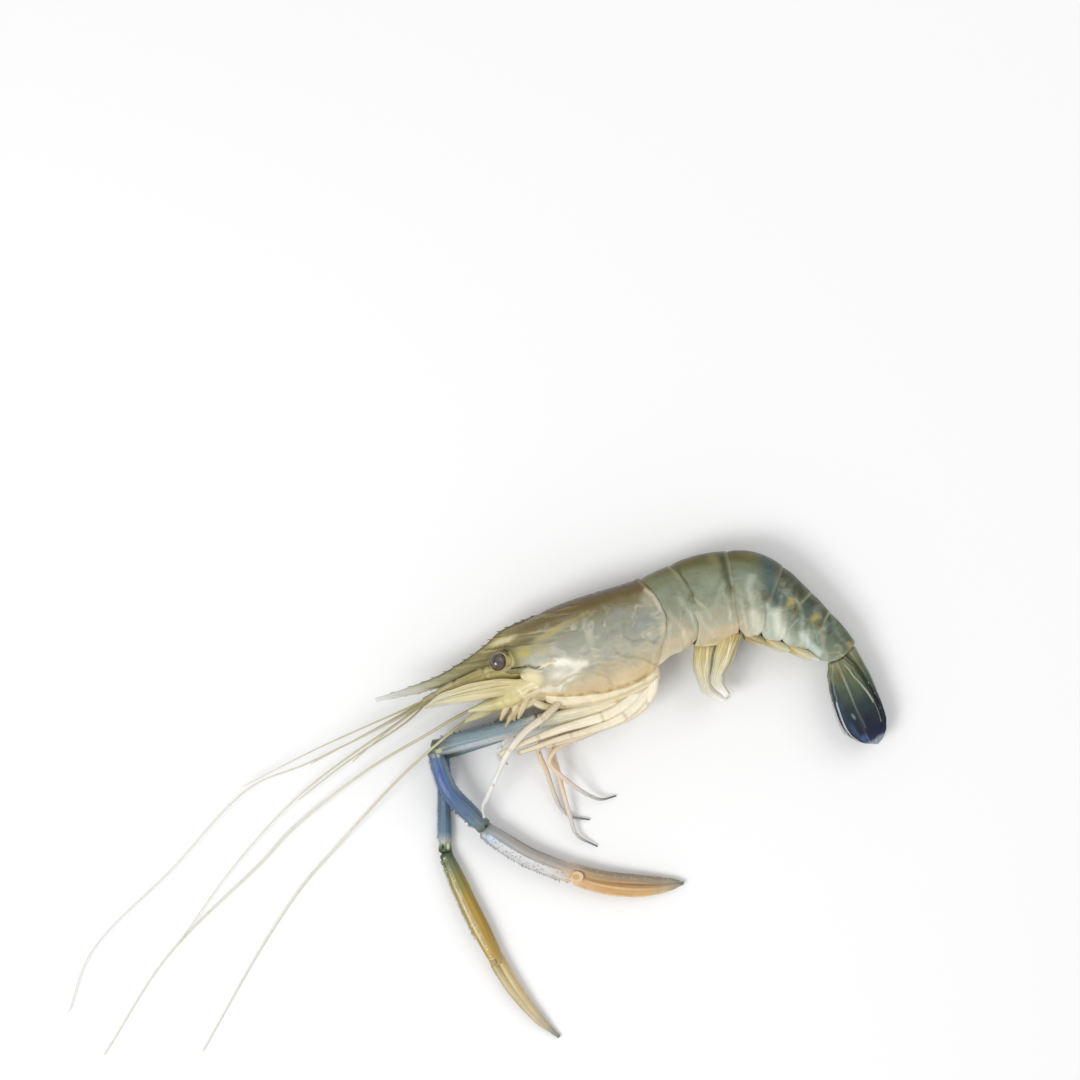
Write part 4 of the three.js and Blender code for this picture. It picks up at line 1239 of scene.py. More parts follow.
def hoop(name, front, rear):
    """One band of shell, with rounded side lobes, its front tucked under the band before it."""
    band, along, angle = extruded(name.replace("abdomen", "hoop"), HOOP_SIDES, HOOP_RINGS, capped=False)
    turn = np.abs(angle)
    lobe = ease(turn, LOBE_START, LOBE_END)
    flank = ease(turn, *FLANK_TURN)
    under = TUCK_DEPTH * (1 - flank if name == "abdomen_2" else 1)
    front_round = 0.4 if name == "abdomen_2" else 1.6
    rear_round = 1.0 if name == "abdomen_6" else 3.4
    reach = TUCK_DEPTH * flank if name == "abdomen_1" else 0.0
    start = edge_at(front, angle) + SHELL_GAP / 2 - under + lobe * front_round
    stop = edge_at(rear, angle) + HOOP_OVERHANG + reach - lobe * rear_round
    at = start + (stop - start) * along
    back, belly, side = size_at(at)
    tuck = TUCK + (1 - TUCK) * ease(at, start, start + under + TUCK_SLOPE)
    if name == "abdomen_2":
        tuck = tuck + (FLARE - tuck) * flank
    if name == "abdomen_1":
        tuck = tuck * (1 - 0.04 * flank * ease(at, stop - 2 * TUCK_DEPTH, stop - TUCK_DEPTH))
    swell = 1 + 0.016 * np.sin(np.pi * ease(at, start, stop)) - 0.012 * ease(at, stop - 1.2, stop)
    rear_rib = 1 + 0.004 * band_at(at, stop - 1.1, 0.6)
    scale = tuck * swell * rear_rib * HOOP_SHARE
    lift, swing = squarish(angle, HOOP_FULLNESS)
    low = np.clip(-lift * 1.1, 0, 1) * (1 - 0.09 * (2 * along - 1) ** 4 * lobe)
    hollow = ease(turn, LOBE_END, HOLLOW_END)
    rise = np.where(lift > 0, lift * back, -low * belly * (1 - 0.2 * hollow)) * scale
    left = swing * side * scale * (1 - 0.12 * lobe * (1 - hollow))
    place_points(band, straighten(at, rise, left))
    face_out(band)
    return band


def hinge(piece, at, rise):
    """The knob and ring where two hoops turn on each other, on both flanks."""
    places = body_places(piece)
    far = np.hypot(places[0] - at, places[1] - rise)
    step = 0.4 * band_at(far, 0, 0.7) + 0.2 * band_at(far, HINGE_RADIUS, 0.45)
    points = points_of(piece)
    points[:, 2] += np.sign(places[2]) * step
    place_points(piece, points)
    return band_at(far, HINGE_RADIUS, 0.5) + band_at(far, 0, 0.8)


print("a hoop is one open band")

# %% Make the six hoops
HINGES = {
    "abdomen_1": (16.0, 3.4), "abdomen_2": (31.2, 3.9), "abdomen_3": (45.4, 3.4), "abdomen_4": (57.6, 2.6),
    "abdomen_5": (70.0, 3.2),
}
FOLDS = {
    "abdomen_1": (((10.5, 6), (13.5, -3), (14, -10)), ((5, 1), (8.5, -8), (9, -15))),
    "abdomen_2": (((16.5, -3), (18.5, -9), (22, -14)), ((28.5, 12), (29.5, 2), (31, -8))),
    "abdomen_3": (((38, 6), (41, -3), (44, -11)), ((43, 2), (47, -5), (50, -12)),
                  ((35, 3), (37, -5), (40, -12))),
    "abdomen_4": (((51, 5), (54, -3), (57.5, -10)), ((55.5, 0), (58.5, -5), (61, -10))),
    "abdomen_5": (((63, 1), (66.5, -4), (69.5, -8)), ((67.5, -1), (70.5, -5), (73.5, -8.5))),
    "abdomen_6": (((73.5, 2), (77, -3), (82, -5.5)), ((76, 5.5), (81, 4.5), (85, 4.8))),
}

hoops = {}
for name, front, rear in HOOPS:
    band = hoop(name, front, rear)
    hinged = hinge(band, *HINGES[name]) if name in HINGES else np.zeros(len(band.data.vertices))
    folded = np.zeros(len(band.data.vertices))
    for line in FOLDS[name]:
        folded = np.maximum(folded, raise_line(band, line, FOLD_WIDTH, 0.28))
        raise_line(band, shifted(line, at=1.7), FOLD_WIDTH, -0.22)
    note(band, "hinge", np.clip(hinged, 0, 1))
    note(band, "fold", folded)
    at, rise, left = body_places(band)
    turn = np.arctan2(np.abs(left), rise)
    note(band, "rim", band_at(at, edge_at(rear, turn) + 0.1, 0.8))
    modify(band, "SOLIDIFY", thickness=HOOP_WALL * MM, offset=-1.0)
    modify(band, "SUBSURF", levels=1, render_levels=1)
    bend(band)
    hoops[name] = band
print("hoops:", [len(band.data.polygons) for band in hoops.values()])

# %% Flesh inside the hoops
FLESH_SHARE = 0.93
FLESH_START = -6
FLESH_LENGTH = 91
RIPPLE = 0.012
RIPPLES_PER_MM = 1.9

flesh, along, angle = extruded("tail_flesh", 48, 60)
at = FLESH_START + along * FLESH_LENGTH
back, belly, side = size_at(at)
lift, swing = squarish(angle, HOOP_FULLNESS)
ripple = 1 + RIPPLE * np.sin(at * RIPPLES_PER_MM)
rise = lift * np.where(lift > 0, back * 0.95, belly * 0.86) * FLESH_SHARE * ripple
place_points(flesh, straighten(at, rise, swing * side * FLESH_SHARE * 0.95))
bend(flesh)
print("flesh inside:", len(flesh.data.polygons), "faces")

# %% [markdown]
# ## The paint of the hoops
# The hoops darken from grey-green at the waist to slate blue and olive near the tail, and their side
# lobes are cream with white streaks where muscle shines through. Round each hinge there is a rusty dot in
# a yellow halo. All six hoops read one body-wide painting, so every patch runs across the overlaps.

# %% Paint the hoops
FRONT_RUN = (
    (-19, 214, 206, 176), (-12, 196, 182, 156), (-6, 172, 166, 144), (0, 148, 150, 130),
    (8, 143, 148, 128), (14, 128, 132, 106), (18, 104, 98, 66), (21, 88, 78, 48),
)
REAR_RUN = (
    (-16, 208, 210, 192), (-9, 168, 176, 158), (-3, 128, 138, 122), (4, 98, 108, 94),
    (10, 80, 86, 68), (15, 68, 72, 54), (21, 58, 58, 38),
)
HOOP_SPOTS = (
    (8, -12, 10, 5, (198, 184, 154), 0.6),
    (22.5, 6, 7, 8, (140, 152, 132), 0.6, 0.9, 10),
    (7, 7, 5, 7, (132, 138, 122), 0.6),
    (26, -13.5, 14, 4.5, (204, 184, 152), 0.75, 0.9, 4),
    (20, -16, 10, 1.6, (190, 170, 116), 0.5),
    (38.5, 18, 5, 3.2, (116, 114, 78), 0.8, 0.9, -20),
    (36.5, 8, 5, 8, (140, 152, 138), 0.6, 0.9, 20),
    (26.5, 17.5, 3.2, 3.6, (136, 134, 96), 0.6),
    (55.6, 4.4, 2.8, 4.8, (172, 156, 92), 0.75, 0.95, -20),
    (67.2, 4.6, 2.8, 4.4, (178, 162, 98), 0.75, 0.95, -20),
    (62.3, 6.4, 3, 4, (72, 86, 80), 0.85, 0.9, 20),
    (61.5, -1, 3.4, 2.6, (118, 134, 128), 0.6, 0.9, 20),
    (75.2, 4.6, 3.4, 3.6, (66, 79, 74), 0.85, 0.9, 10),
    (74.6, 0, 2.6, 1.6, (150, 148, 116), 0.5, 0.9, 10),
    (85.2, 5, 2.4, 2.2, (150, 140, 88), 0.8),
    (79, 7.6, 5, 1.6, (96, 100, 78), 0.5),
    (58.6, 2.8, 1.5, 1.1, (120, 66, 28), 0.95, 0.8, 20),
    (70.8, 3.2, 1.5, 1.1, (124, 70, 30), 0.95, 0.8, 20),
)
HOOP_LINES = (
    (2.6, (80, 84, 64), 0.85, ((30, 21), (30, 13), (31, 5.6))),
    # A dark line of painted shade along the edge between the first and second hoops, where the overlap falls
    # dark.
    (1.1, (88, 92, 72), 0.7, ((13.8, 18.5), (14.8, 10.5), (16.2, 3.6))),
    (1.3, (180, 178, 152), 0.6, ((16.6, 3), (18.8, -0.5), (21.2, -4.1), (21.8, -9.7))),
    (4.4, (80, 96, 96), 0.9, ((43.5, 19), (44.6, 11), (47.8, 4.4), (50.6, 2.6))),
    (2.6, (184, 190, 172), 0.55, ((39, 10), (38.6, 3.8), (41.2, -1.2))),
    (2.4, (150, 158, 142), 0.5, ((13.5, -1), (12.5, -9.2))),
    (4.6, (212, 211, 190), 0.85, ((42.4, -5.4), (45.4, -10.4), (48.6, -13.4))),
    (4.8, (214, 217, 202), 0.9, ((52.2, -3), (56.6, -8), (61.4, -11.2))),
    (3.2, (198, 210, 203), 0.85, ((67, -4.4), (72.4, -6.2), (77.6, -6.6))),
    (1.6, (188, 198, 186), 0.6, ((47.4, -0.5), (50.6, -7.4), (53.4, -11.6))),
    (0.9, (140, 140, 112), 0.7, ((60.8, 11.9), (58.9, 4.9), (59.4, -0.9))),
    (0.9, (140, 142, 118), 0.7, ((70.7, 10.5), (71.8, 3), (73.6, -0.4))),
    (0.9, (160, 156, 124), 0.7, ((80.5, -3.8), (84.3, -0.4), (87, 0.4))),
)


def hoop_paint(name):
    """The body-wide painting of the hoops, as one material."""
    paint = Finish(name)
    flat, loose, place, at, rise = body_frame(paint)
    rear = paint.ramp(rise, REAR_RUN)
    colour = paint.lay(paint.ramp(rise, FRONT_RUN), rear, paint.spread(at, 33, 56, smooth=True))
    clouds = paint.spread(paint.noise(loose, 0.11, 3.0, 1.4), 0.48, 0.64, 0.0, 0.45, smooth=True)
    colour = paint.lay(colour, (166, 174, 158), clouds, paint.spread(rise, 15, 6))
    dusk_place = paint.vector("ADD", loose, (50, 20, 0))
    dusk = paint.spread(paint.noise(dusk_place, 0.1, 3.0, 1.4), 0.5, 0.66, 0.0, 0.45)
    colour = paint.lay(colour, (104, 110, 92), dusk, paint.spread(rise, -8, 4))
    colour = spots(paint, loose, colour, HOOP_SPOTS)
    colour = strokes(paint, loose, colour, HOOP_LINES)
    low = paint.spread(rise, 8, -8)
    fibres = use_group(paint, "streaks", Place=loose, Turn=0.3, Along=0.6, Across=0.1, Low=0.54, High=0.7)
    dots = use_group(paint, "specks", Place=place, Scale=1.2, Share=0.3)
    colour = paint.lay(colour, (222, 220, 198), fibres, low, 0.28)
    colour = paint.lay(colour, (222, 221, 202), paint.noted("fold"), low, 0.35)
    colour = paint.lay(colour, (184, 178, 144), paint.noted("rim"), 0.28)
    colour = paint.lay(colour, (96, 92, 66), paint.noted("hinge"), 0.6)
    colour = paint.lay(colour, (72, 78, 58), dots, 0.25)
    colour = use_group(paint, "mottling", Colour=colour, Place=place, Scale=0.24, Strength=0.36)
    return wet_shell(paint, colour, place, grain=0.9)


HOOP_SLOTS = ("front_abdomen_shell", "rear_abdomen_shell")
shell_paints = {slot: hoop_paint(slot) for slot in HOOP_SLOTS}
for i, (name, band) in enumerate(hoops.items()):
    slot = HOOP_SLOTS[i // 3]
    dress(band, shell_paints[slot], slot, name)

# %% Membrane over the flesh
MEMBRANE_RUN = ((-32, 226, 214, 182), (-24, 232, 222, 194), (-14, 214, 196, 160))
MEMBRANE_LINES = (
    (1.4, (200, 176, 136), 0.6, ((-50, -24), (-36, -26.4), (-22, -26.6), (-8, -24))),
    (0.9, (198, 176, 136), 0.6, ((-40, -27.4), (-26, -28.8), (-12, -27))),
)
# A dark patch of painted shade at the front of the breast, in the gap under the head shell.
BREAST_FRONT_SHADE = ((-53, -24.6, 4.4, 1.5, (86, 72, 46), 0.85, 0.7),)

paint = Finish("membrane")
flat, loose, place, at, rise = body_frame(paint)
blots = use_group(paint, "specks", Place=place, Scale=0.22, Share=0.4)
colour = paint.lay(paint.ramp(rise, MEMBRANE_RUN), (204, 178, 134), blots, 0.5)
colour = strokes(paint, loose, colour, MEMBRANE_LINES)
colour = spots(paint, flat, colour, BREAST_FRONT_SHADE)
colour = use_group(paint, "mottling", Colour=colour, Place=place, Scale=0.3, Strength=0.4)
membrane = wet_shell(paint, colour, place, grain=0.6, gloss=0.24)
dress(flesh, membrane, "membrane")

# %% [markdown]
# ## Eyes
# Each eye is a dark, very fine-facetted ball on a short stalk, with a thin pale rim where the stalk ends.
# The ball is a sphere pressed a little oval. The rim is a ring of shell laid round it, so that the eye
# seems to sit in a socket from any side.

# %% Eyes
SIDES = (("left", 1), ("right", -1))
RIM_RADIUS = 3.72
RIM_WIRE = 0.42
FACETS_PER_MM = 5.5
BALL_SCALE = (0.96, 1.03, 0.97)
STALK = ((-62, 0.6, 2.6), (-66, 1.2, 4.6))

paint = Finish("eye")
here = paint.whereabouts()
glow = paint.spread(paint.noise(here, 0.5, 3.0), 0.35, 0.7)
colour = paint.lay(ink(60, 45, 40), (112, 95, 88), glow)
colour = paint.lay(colour, (196, 184, 136), paint.noted("rim"))
facets = paint.cells(here, FACETS_PER_MM).outputs["Distance"]
eye_finish = paint.finish(colour, 0.2, facets, 0.15, 0.05, {"Coat Weight": 0.8, "Coat Roughness": 0.08})

for side, sign in SIDES:
    centre = on_body(EYE_AT, EYE_RISE, sign * EYE_SPREAD)
    pick_nothing()
    bpy.ops.mesh.primitive_uv_sphere_add(
        segments=56, ring_count=36, radius=EYE_RADIUS * MM, location=centre * MM,
    )
    ball = bpy.context.object
    ball.name = "eyeball_" + side
    ball.scale = BALL_SCALE
    settle(ball)
    note(ball, "rim", np.zeros(len(ball.data.vertices)))
    pick_nothing()
    bpy.ops.mesh.primitive_torus_add(
        major_radius=RIM_RADIUS * MM, minor_radius=RIM_WIRE * MM, major_segments=56, minor_segments=10,
        location=(centre + Vector((0.35, -0.1, -0.8 * sign))) * MM, rotation=(0.1, 0.2 * sign, 0),
    )
    ring = bpy.context.object
    settle(ring)
    base, middle = on_side(STALK, sign)
    route = [base, middle, centre.lerp(middle, 0.2)]
    stalk = limb("stalk_" + side, route, (1.8, 2.3, 3.2), sides=24, rings=12)
    for part in (ring, stalk):
        note(part, "rim", np.ones(len(part.data.vertices)))
    dress(join(ball, ring, stalk), eye_finish, "eye", "eye_" + side)

# %% [markdown]
# ## Feelers and limbs: paint by the limb
# A limb's colour follows the limb: dark at its joints, pale below, blue along its upper edge. Each limb
# carries its own coordinates, the distance along it and the place across it, so its paint is a run of
# colours along it with patches placed on it, whatever way the limb bends.

# %% Paint along a limb
ACROSS = 10.0
FIBRES = (0.07, 5.0, 5.0)
FIBRE_DETAIL = 3.0
FIBRE_RANGE = (0.35, 0.65)
SPECK = (1.2, 0.3, (110, 96, 62), 0.3)


def limb_paint(
    name, run, *rows, lines=(), speck=SPECK, only=None, streak=0.3, gloss=0.36, tip=None, mottle=0.3,
):
    """Colours along a limb as (mm, red, green, blue), with patches at (mm, across -10 to 10), lines and specks
    over it. The specks may keep to one side: only says where across they are gone and where they are full."""
    paint = Finish(name)
    coordinates = paint.noted("on_limb", "Vector")
    far, across, _ = paint.parts(coordinates)
    flat = paint.combine(far, paint.times(across, ACROSS), 0.0)
    here = paint.whereabouts()
    colour = spots(paint, flat, paint.ramp(far, run), rows)
    colour = strokes(paint, flat, colour, lines)
    fibres = paint.noise(paint.vector("MULTIPLY", coordinates, FIBRES), 1.0, FIBRE_DETAIL)
    light = paint.spread(fibres, *FIBRE_RANGE, 1.0 - streak * 0.6, 1.0 + streak * 0.25)
    colour = paint.shade(colour, light)
    scale, share, tint, strength = speck
    dots = paint.times(use_group(paint, "specks", Place=here, Scale=scale, Share=share), strength)
    if only:
        dots = paint.times(dots, paint.spread(across, only[0] / ACROSS, only[1] / ACROSS))
    colour = paint.lay(colour, tint, dots)
    if tip:
        colour = paint.lay(colour, tip, paint.noted("spine"))
    colour = use_group(paint, "mottling", Colour=colour, Place=here, Scale=0.35, Strength=mottle)
    return wet_shell(paint, colour, here, grain=1.3, gloss=gloss, depth=0.08)


SINK = 0.15
GROWTH = (0.75, 1.2)


def row_of(piece, part, name, start, stop, step, turn, size, lean=0.4, jitter=0.25, seed=1):
    """A row of small parts along a limb at an angle round it, uneven in place and size, joined to it."""
    draw = np.random.default_rng(seed)
    even = np.arange(start, stop, step)
    far = even + draw.uniform(-1, 1, len(even)) * step * jitter
    turns = turn + draw.uniform(-1, 1, len(far)) * jitter
    feet, out, forward = on_skin(piece, far, turns, SINK)
    sizes = draw.uniform(*GROWTH, len(far))[:, None] * size
    places = np.stack([far, np.cos(turns), np.sin(turns)], axis=1)
    return join(piece, copies(name, part, feet, out + forward * lean, sizes, "on_limb", places))


# %% [markdown]
# ## Feelers
# Two antennules carry three thin whips each, and two antennae one long whip each. Their stems are stout
# and jointed, and a flat scale stiffened by an outer rib covers each antenna. The whips could be curves
# with a bevel, but as limbs they taper, keep their own coordinates for the paint, and rest on the table.

# %% Whips and their stems
FEELER_ROUTES = {
    "antennule_left": (
        ((-96.2, -34, 23), (-106, -38.6, 21.8), (-142, -55, 14), (-175, -72, 6.5)),
        ((-96.2, -34.6, 22.2), (-106, -40.8, 19.8), (-147, -61.7, 11.5), (-172, -72.5, 8), (-206, -108, 4.2),
         (-240, -143, 2.2), (-249.5, -168.4, 1.4)),
        ((-96.2, -35, 21.6), (-104, -41, 18.7), (-116, -50.4, 15.4), (-128, -61, 12.6)),
    ),
    "antennule_right": (
        ((-96.2, -34.8, 18), (-105, -41.6, 15.6), (-149, -73.9, 7), (-178.5, -105.4, 3.6),
         (-203.5, -140, 2.8)),
        ((-96.2, -35.6, 17.2), (-105, -43.9, 14), (-130, -61, 8.2), (-151.5, -77.8, 4.6)),
        ((-96.2, -34.2, 17.8), (-110, -42.4, 14.4), (-130, -53.5, 9.6), (-146, -62.4, 6.2)),
    ),
    "antenna_left": (
        ((-74.4, -37, 20.6), (-84, -41.8, 19.2), (-97, -49.6, 16), (-122.6, -65.1, 9.4),
         (-155.8, -91.6, 3.6), (-167.2, -104.2, 2.4), (-207.4, -144.4, 0.9), (-234.4, -186.5, 0.7)),
    ),
    "antenna_right": (
        ((-75.4, -39.6, 14.6), (-88.4, -49.9, 18.2), (-107.1, -66.8, 12.4), (-139, -101.6, 2.6),
         (-150.8, -115.5, 1.3), (-167.2, -140.3, 0.8), (-192.4, -184.8, 0.7)),
    ),
}


ANTENNULE_STEM = ((-62, -3.4, 2.6), (-74, -2.6, 2.6), (-90, -3.0, 2.5), (-103.4, -5.2, 2.4))
ANTENNA_STEM = ((-56, -11.4, 4.8), (-63, -12.4, 4.8), (-69.6, -14.2, 4.6))


def in_frame(route):
    """A route given from the waist, as places in the frame."""
    return [from_waist(*corner) for corner in route]


def knuckled(*joints, depth):
    """A limb shape that is pinched at its joints and swells just past them."""
    def shape(far, _, w, t):
        pinch = np.ones(len(far))
        for joint in joints:
            pinch -= depth * band_at(far, joint, 0.7)
            pinch += depth * 0.45 * band_at(np.abs(far - joint), 1.7, 0.8)
        return w * pinch, t * pinch
    return shape


whip_paint = limb_paint(
        "whip",
        ((0, 160, 152, 116), (30, 196, 190, 164), (90, 220, 217, 202), (220, 222, 220, 210)),
    speck=(0.5, 0.3, (168, 160, 134), 0.3), gloss=0.4, streak=0.1,
)
stem_paint = limb_paint(
        "feeler",
        ((0, 206, 192, 138), (8, 186, 174, 122), (18, 172, 161, 112), (28, 170, 160, 116),
         (36, 168, 160, 130), (44, 160, 154, 128)),
    (22, -4, 14, 2, (138, 130, 92), 0.5, 0.8), (8, 6, 10, 3, (224, 212, 168), 0.7),
    (30, 6, 10, 2, (200, 192, 154), 0.6, 0.8),
    lines=((0.9, (96, 84, 56), 0.6, ((16, 2), (34, 1))), (0.8, (112, 102, 70), 0.6, ((24, -5), (42, -3)))),
    speck=(1.7, 0.55, (84, 72, 44), 0.6), streak=0.3,
)
antenna_paint = limb_paint(
        "antenna_stem",
        ((0, 232, 220, 188), (7, 226, 214, 172), (14, 208, 197, 146), (20, 196, 186, 136),
         (26, 206, 199, 160)),
    (6, -5, 6, 3, (214, 202, 160), 0.6), (12, 7, 6, 2.4, (176, 168, 126), 0.5),
    (4, 4, 3, 2.4, (150, 134, 92), 0.5, 0.8),
    speck=(1.2, 0.3, (132, 118, 76), 0.3), streak=0.25,
)
for side, sign in SIDES:
    name = "antennule_" + side
    stem = limb(
        "stem_" + name,
        on_side(ANTENNULE_STEM, sign),
        (4.0, 3.6, 2.3, 1.4), (2.3, 2.3, 1.9, 1.4), across=(0.3, 0.95, 0), sides=28, rings=80,
        shape=knuckled(14, 27, 36, depth=0.16),
    )
    dress(stem, stem_paint, "feeler")
    whips = [
        limb("whips_" + name, in_frame(route), (0.46, 0.24), sides=7, rings=110)
        for route in FEELER_ROUTES[name]
    ]
    dress(join(*whips), whip_paint, "feeler", name)
    name = "antenna_" + side
    route = in_frame(FEELER_ROUTES[name][0])
    stem = limb(
        "stem_" + name,
        [*on_side(ANTENNA_STEM, sign), route[0].lerp(route[1], 0.45)],
        (4.6, 4.7, 2.9, 0.9), (3.4, 3.4, 2.6, 0.9), sides=28, rings=60, shape=knuckled(9, 15, depth=0.1),
    )
    dress(stem, antenna_paint, "feeler")
    whip = limb("whip_" + name, route, (0.62, 0.5, 0.3), sides=8, rings=150)
    dress(whip, whip_paint, "feeler", name)


# %% Flat scales beside the feelers


def ribbed(rib, height, edge=0.0, rounding=0.0):
    """A thin blade with a rib along it at a place across, a thicker outer edge, and an end that is rounded off
    over so many mm."""
    def shape(far, turn, w, t):
        if rounding:
            w = w * np.sqrt(1 - 0.98 * np.clip((far - far.max() + rounding) / rounding, 0, 1) ** 2)
        across = np.cos(turn)
        lift = height * band_at(across, rib, 0.1) + edge * band_at(across, 1, 0.12)
        return w, t * (1 + lift * (np.sin(turn) > -0.3))
    return shape


SCALE_ROUTE = (
    (-62, -10.2, 6.6), (-74, -8.2, 6.9), (-86, -6.9, 6.3), (-97, -6.6, 5.5), (-104, -7.8, 5.0),
)
scale_paint = limb_paint(
        "antennal_scale",
        ((0, 214, 200, 150), (10, 208, 196, 152), (24, 212, 202, 164), (36, 208, 202, 176),
         (44, 196, 192, 172)),
    (24, 4, 20, 1.6, (222, 213, 178), 0.7, 0.8, 2),
    lines=((0.8, (136, 128, 88), 0.7, ((6, 1.5), (40, 0.5))),
           (0.7, (160, 150, 108), 0.6, ((8, -3), (36, -1.5))),
           (0.7, (168, 158, 118), 0.6, ((12, 6), (38, 3.5))), (1, (226, 219, 190), 0.7, ((10, -6), (36, -4)))),
    speck=(1.6, 0.3, (112, 98, 62), 0.35), streak=0.3,
)
for side, sign in SIDES:
    scale = limb(
        "scale_" + side,
        on_side(SCALE_ROUTE, sign),
        (2.4, 3.7, 3.7, 2.7, 0.7), (1.0, 0.7, 0.55, 0.4), across=(0.3, 0.95, 0), sides=48, rings=60,
        shape=ribbed(0.1, 0.5, 0.4),
    )
    row_of(scale, HAIR, "scale_hairs", 8, 40, 0.32, math.pi, (0.09, 1.3), lean=1.0, jitter=0.1, seed=5)
    dress(scale, scale_paint, "feeler", "antennal_scale_" + side)

# %% [markdown]
# ## Claws
# The second legs of this prawn are its long blue claws. Each link is a slightly flattened tube of hard
# shell with rows of short dark spines, and dark joints with a pale ball where two links meet. One spine is
# modelled and copied along each row with small differences, because evenly stamped rows look cast.

# %% Links of the claws
CLAWS = {
    "left": {
        "base": (((-9, -31.5, 17), (-21, -36.5, 19.6), (-34, -40.2, 21), (-49.4, -43.4, 20.6)),
                 (2.6, 2.9, 2.9, 3.1)),
        "arm": (((-51, -43.7, 20.4), (-72, -49.4, 16.8), (-93.4, -55.3, 12.6)), (3.3, 3.9, 3.8)),
        "wrist": (
            ((-93.6, -57, 12.3), (-87.6, -73, 12.5), (-79.8, -82, 9.8), (-73, -88.8, 7)),
            (3.3, 3.5, 3.8, 3.5),
        ),
        "palm": (((-72.4, -90.6, 6.6), (-54.4, -101.8, 5.4), (-36, -109.2, 4.9)), (3.9, 4.2, 4.2, 4.3)),
        "thumb": (((-37, -106.8, 4.9), (-22, -110.4, 4.4), (-4, -112.1, 3.2), (12, -113, 1.8)),
                  (2.6, 2.6, 2.6, 2.5, 2.4, 2.2, 1.9, 1.5, 0.4)),
        "finger": (((-34.2, -111.6, 4.8), (-20, -115.2, 4.2), (-4, -116.3, 3), (11.8, -113.8, 1.7)),
                   (2.6, 2.8, 2.9, 2.9, 2.8, 2.6, 2.2, 1.7, 0.4)),
    },
    "right": {
        "base": (((-21, -36.5, 8), (-34, -40.8, 6.2), (-49.4, -44.4, 5.6)), (2.8, 2.8, 3.1)),
        "arm": (((-51, -44.9, 5.4), (-70, -51, 4.6), (-89.6, -57.6, 3.9)), (2.8, 3.4, 3.2)),
        "wrist": (((-90, -58.8, 3.7), (-89.8, -80, 3.2), (-89.4, -99.6, 3.2)), (2.5, 2.6, 2.9)),
        "palm": (((-89.1, -101, 3.4), (-79.9, -121.4, 3.8), (-67.2, -146.6, 3.5)), (2.9, 3.7, 3.9, 3.3)),
        "thumb": (((-66.8, -144.4, 3.5), (-58.6, -158.2, 3.1), (-48.9, -170.8, 2.2), (-40.8, -178.6, 1)),
                  (2, 1.9, 1.5, 0.5)),
        "finger": (((-68.4, -147.6, 3.5), (-60.4, -159.8, 3), (-50, -171.6, 2.1), (-41.2, -179, 1)),
                   (2, 1.9, 1.5, 0.5)),
    },
}


def link(side, kind, squash, ridge, waist):
    """One hard link: flattened, with soft ridges along it and swollen ends."""
    route, sizes = CLAWS[side][kind]

    def shape(far, turn, w, t):
        length = far.max()
        ridges = 1 + ridge * np.cos(5 * turn)
        ends = 1 - waist * band_at(far, 2.2, 1.2) - waist * band_at(far, length - 2.6, 1.2)
        return w * ridges * ends, t * ridges * ends * squash

    name = f"claw_{kind}_link_{side}"
    return limb(name, in_frame(route), sizes, sides=40, rings=70, shape=shape, dome=0.35)


def spiny(piece, rows, seed):
    """Rows of spines: (start, stop, step, angle in degrees, thickness, length)."""
    for i, (start, stop, step, degrees, thick, tall) in enumerate(rows):
        row_of(piece, SPINE, "spines", start, stop, step, math.radians(degrees), (thick, tall), seed=seed + i)
    return piece


def hinge_ring(place, radius):
    """The pale ring where the moving finger turns on the palm, round a low boss."""
    pick_nothing()
    bpy.ops.mesh.primitive_torus_add(
        major_radius=radius * MM, minor_radius=radius * MM / 2.6, major_segments=40, minor_segments=12,
        location=from_waist(*place) * MM,
    )
    ring = bpy.context.object
    bpy.ops.mesh.primitive_uv_sphere_add(segments=32, ring_count=16, radius=radius * MM, location=ring.location)
    boss = bpy.context.object
    for part, scale, far in ((ring, (1.3, 1.0, 0.35), 0.0), (boss, (1.2, 0.9, 0.08), 6.0)):
        part.scale = scale
        settle(part)
        note(part, "on_limb", np.tile((far, 0.0, 1.0), (len(part.data.vertices), 1)))
    return join(ring, boss)


ARM_ROWS = ((2, 41, 0.9, 180, 0.5, 0.95), (3, 40, 1.5, 150, 0.4, 0.6), (3, 40, 1.4, 212, 0.4, 0.7),
            (3, 40, 1.5, 0, 0.36, 0.55), (4, 40, 2.1, 118, 0.3, 0.42), (4, 40, 2.1, 60, 0.3, 0.4))
WRIST_ROWS = ((2, 36, 0.9, 180, 0.5, 0.95), (2, 36, 1.3, 150, 0.42, 0.65), (3, 36, 1.0, 0, 0.42, 0.75),
              (3, 36, 1.8, 115, 0.3, 0.4), (3, 36, 1.6, 60, 0.3, 0.4))
PALM_ROWS = ((2, 38, 0.8, 180, 0.5, 0.85), (2, 38, 0.9, 162, 0.46, 0.6), (2, 38, 1.0, 146, 0.42, 0.5),
             (2, 36, 1.3, 128, 0.36, 0.4), (3, 38, 2.2, 0, 0.26, 0.3))
FINGER_ROWS = ((2, 40, 0.9, 180, 0.32, 0.5), (2, 40, 1.1, 0, 0.26, 0.4), (2, 34, 1.6, 150, 0.26, 0.3))
HINGE_RINGS = {"left": ((-33.8, -110.0, 8.3), 1.7), "right": ((-67.8, -146.4, 6.2), 1.1)}

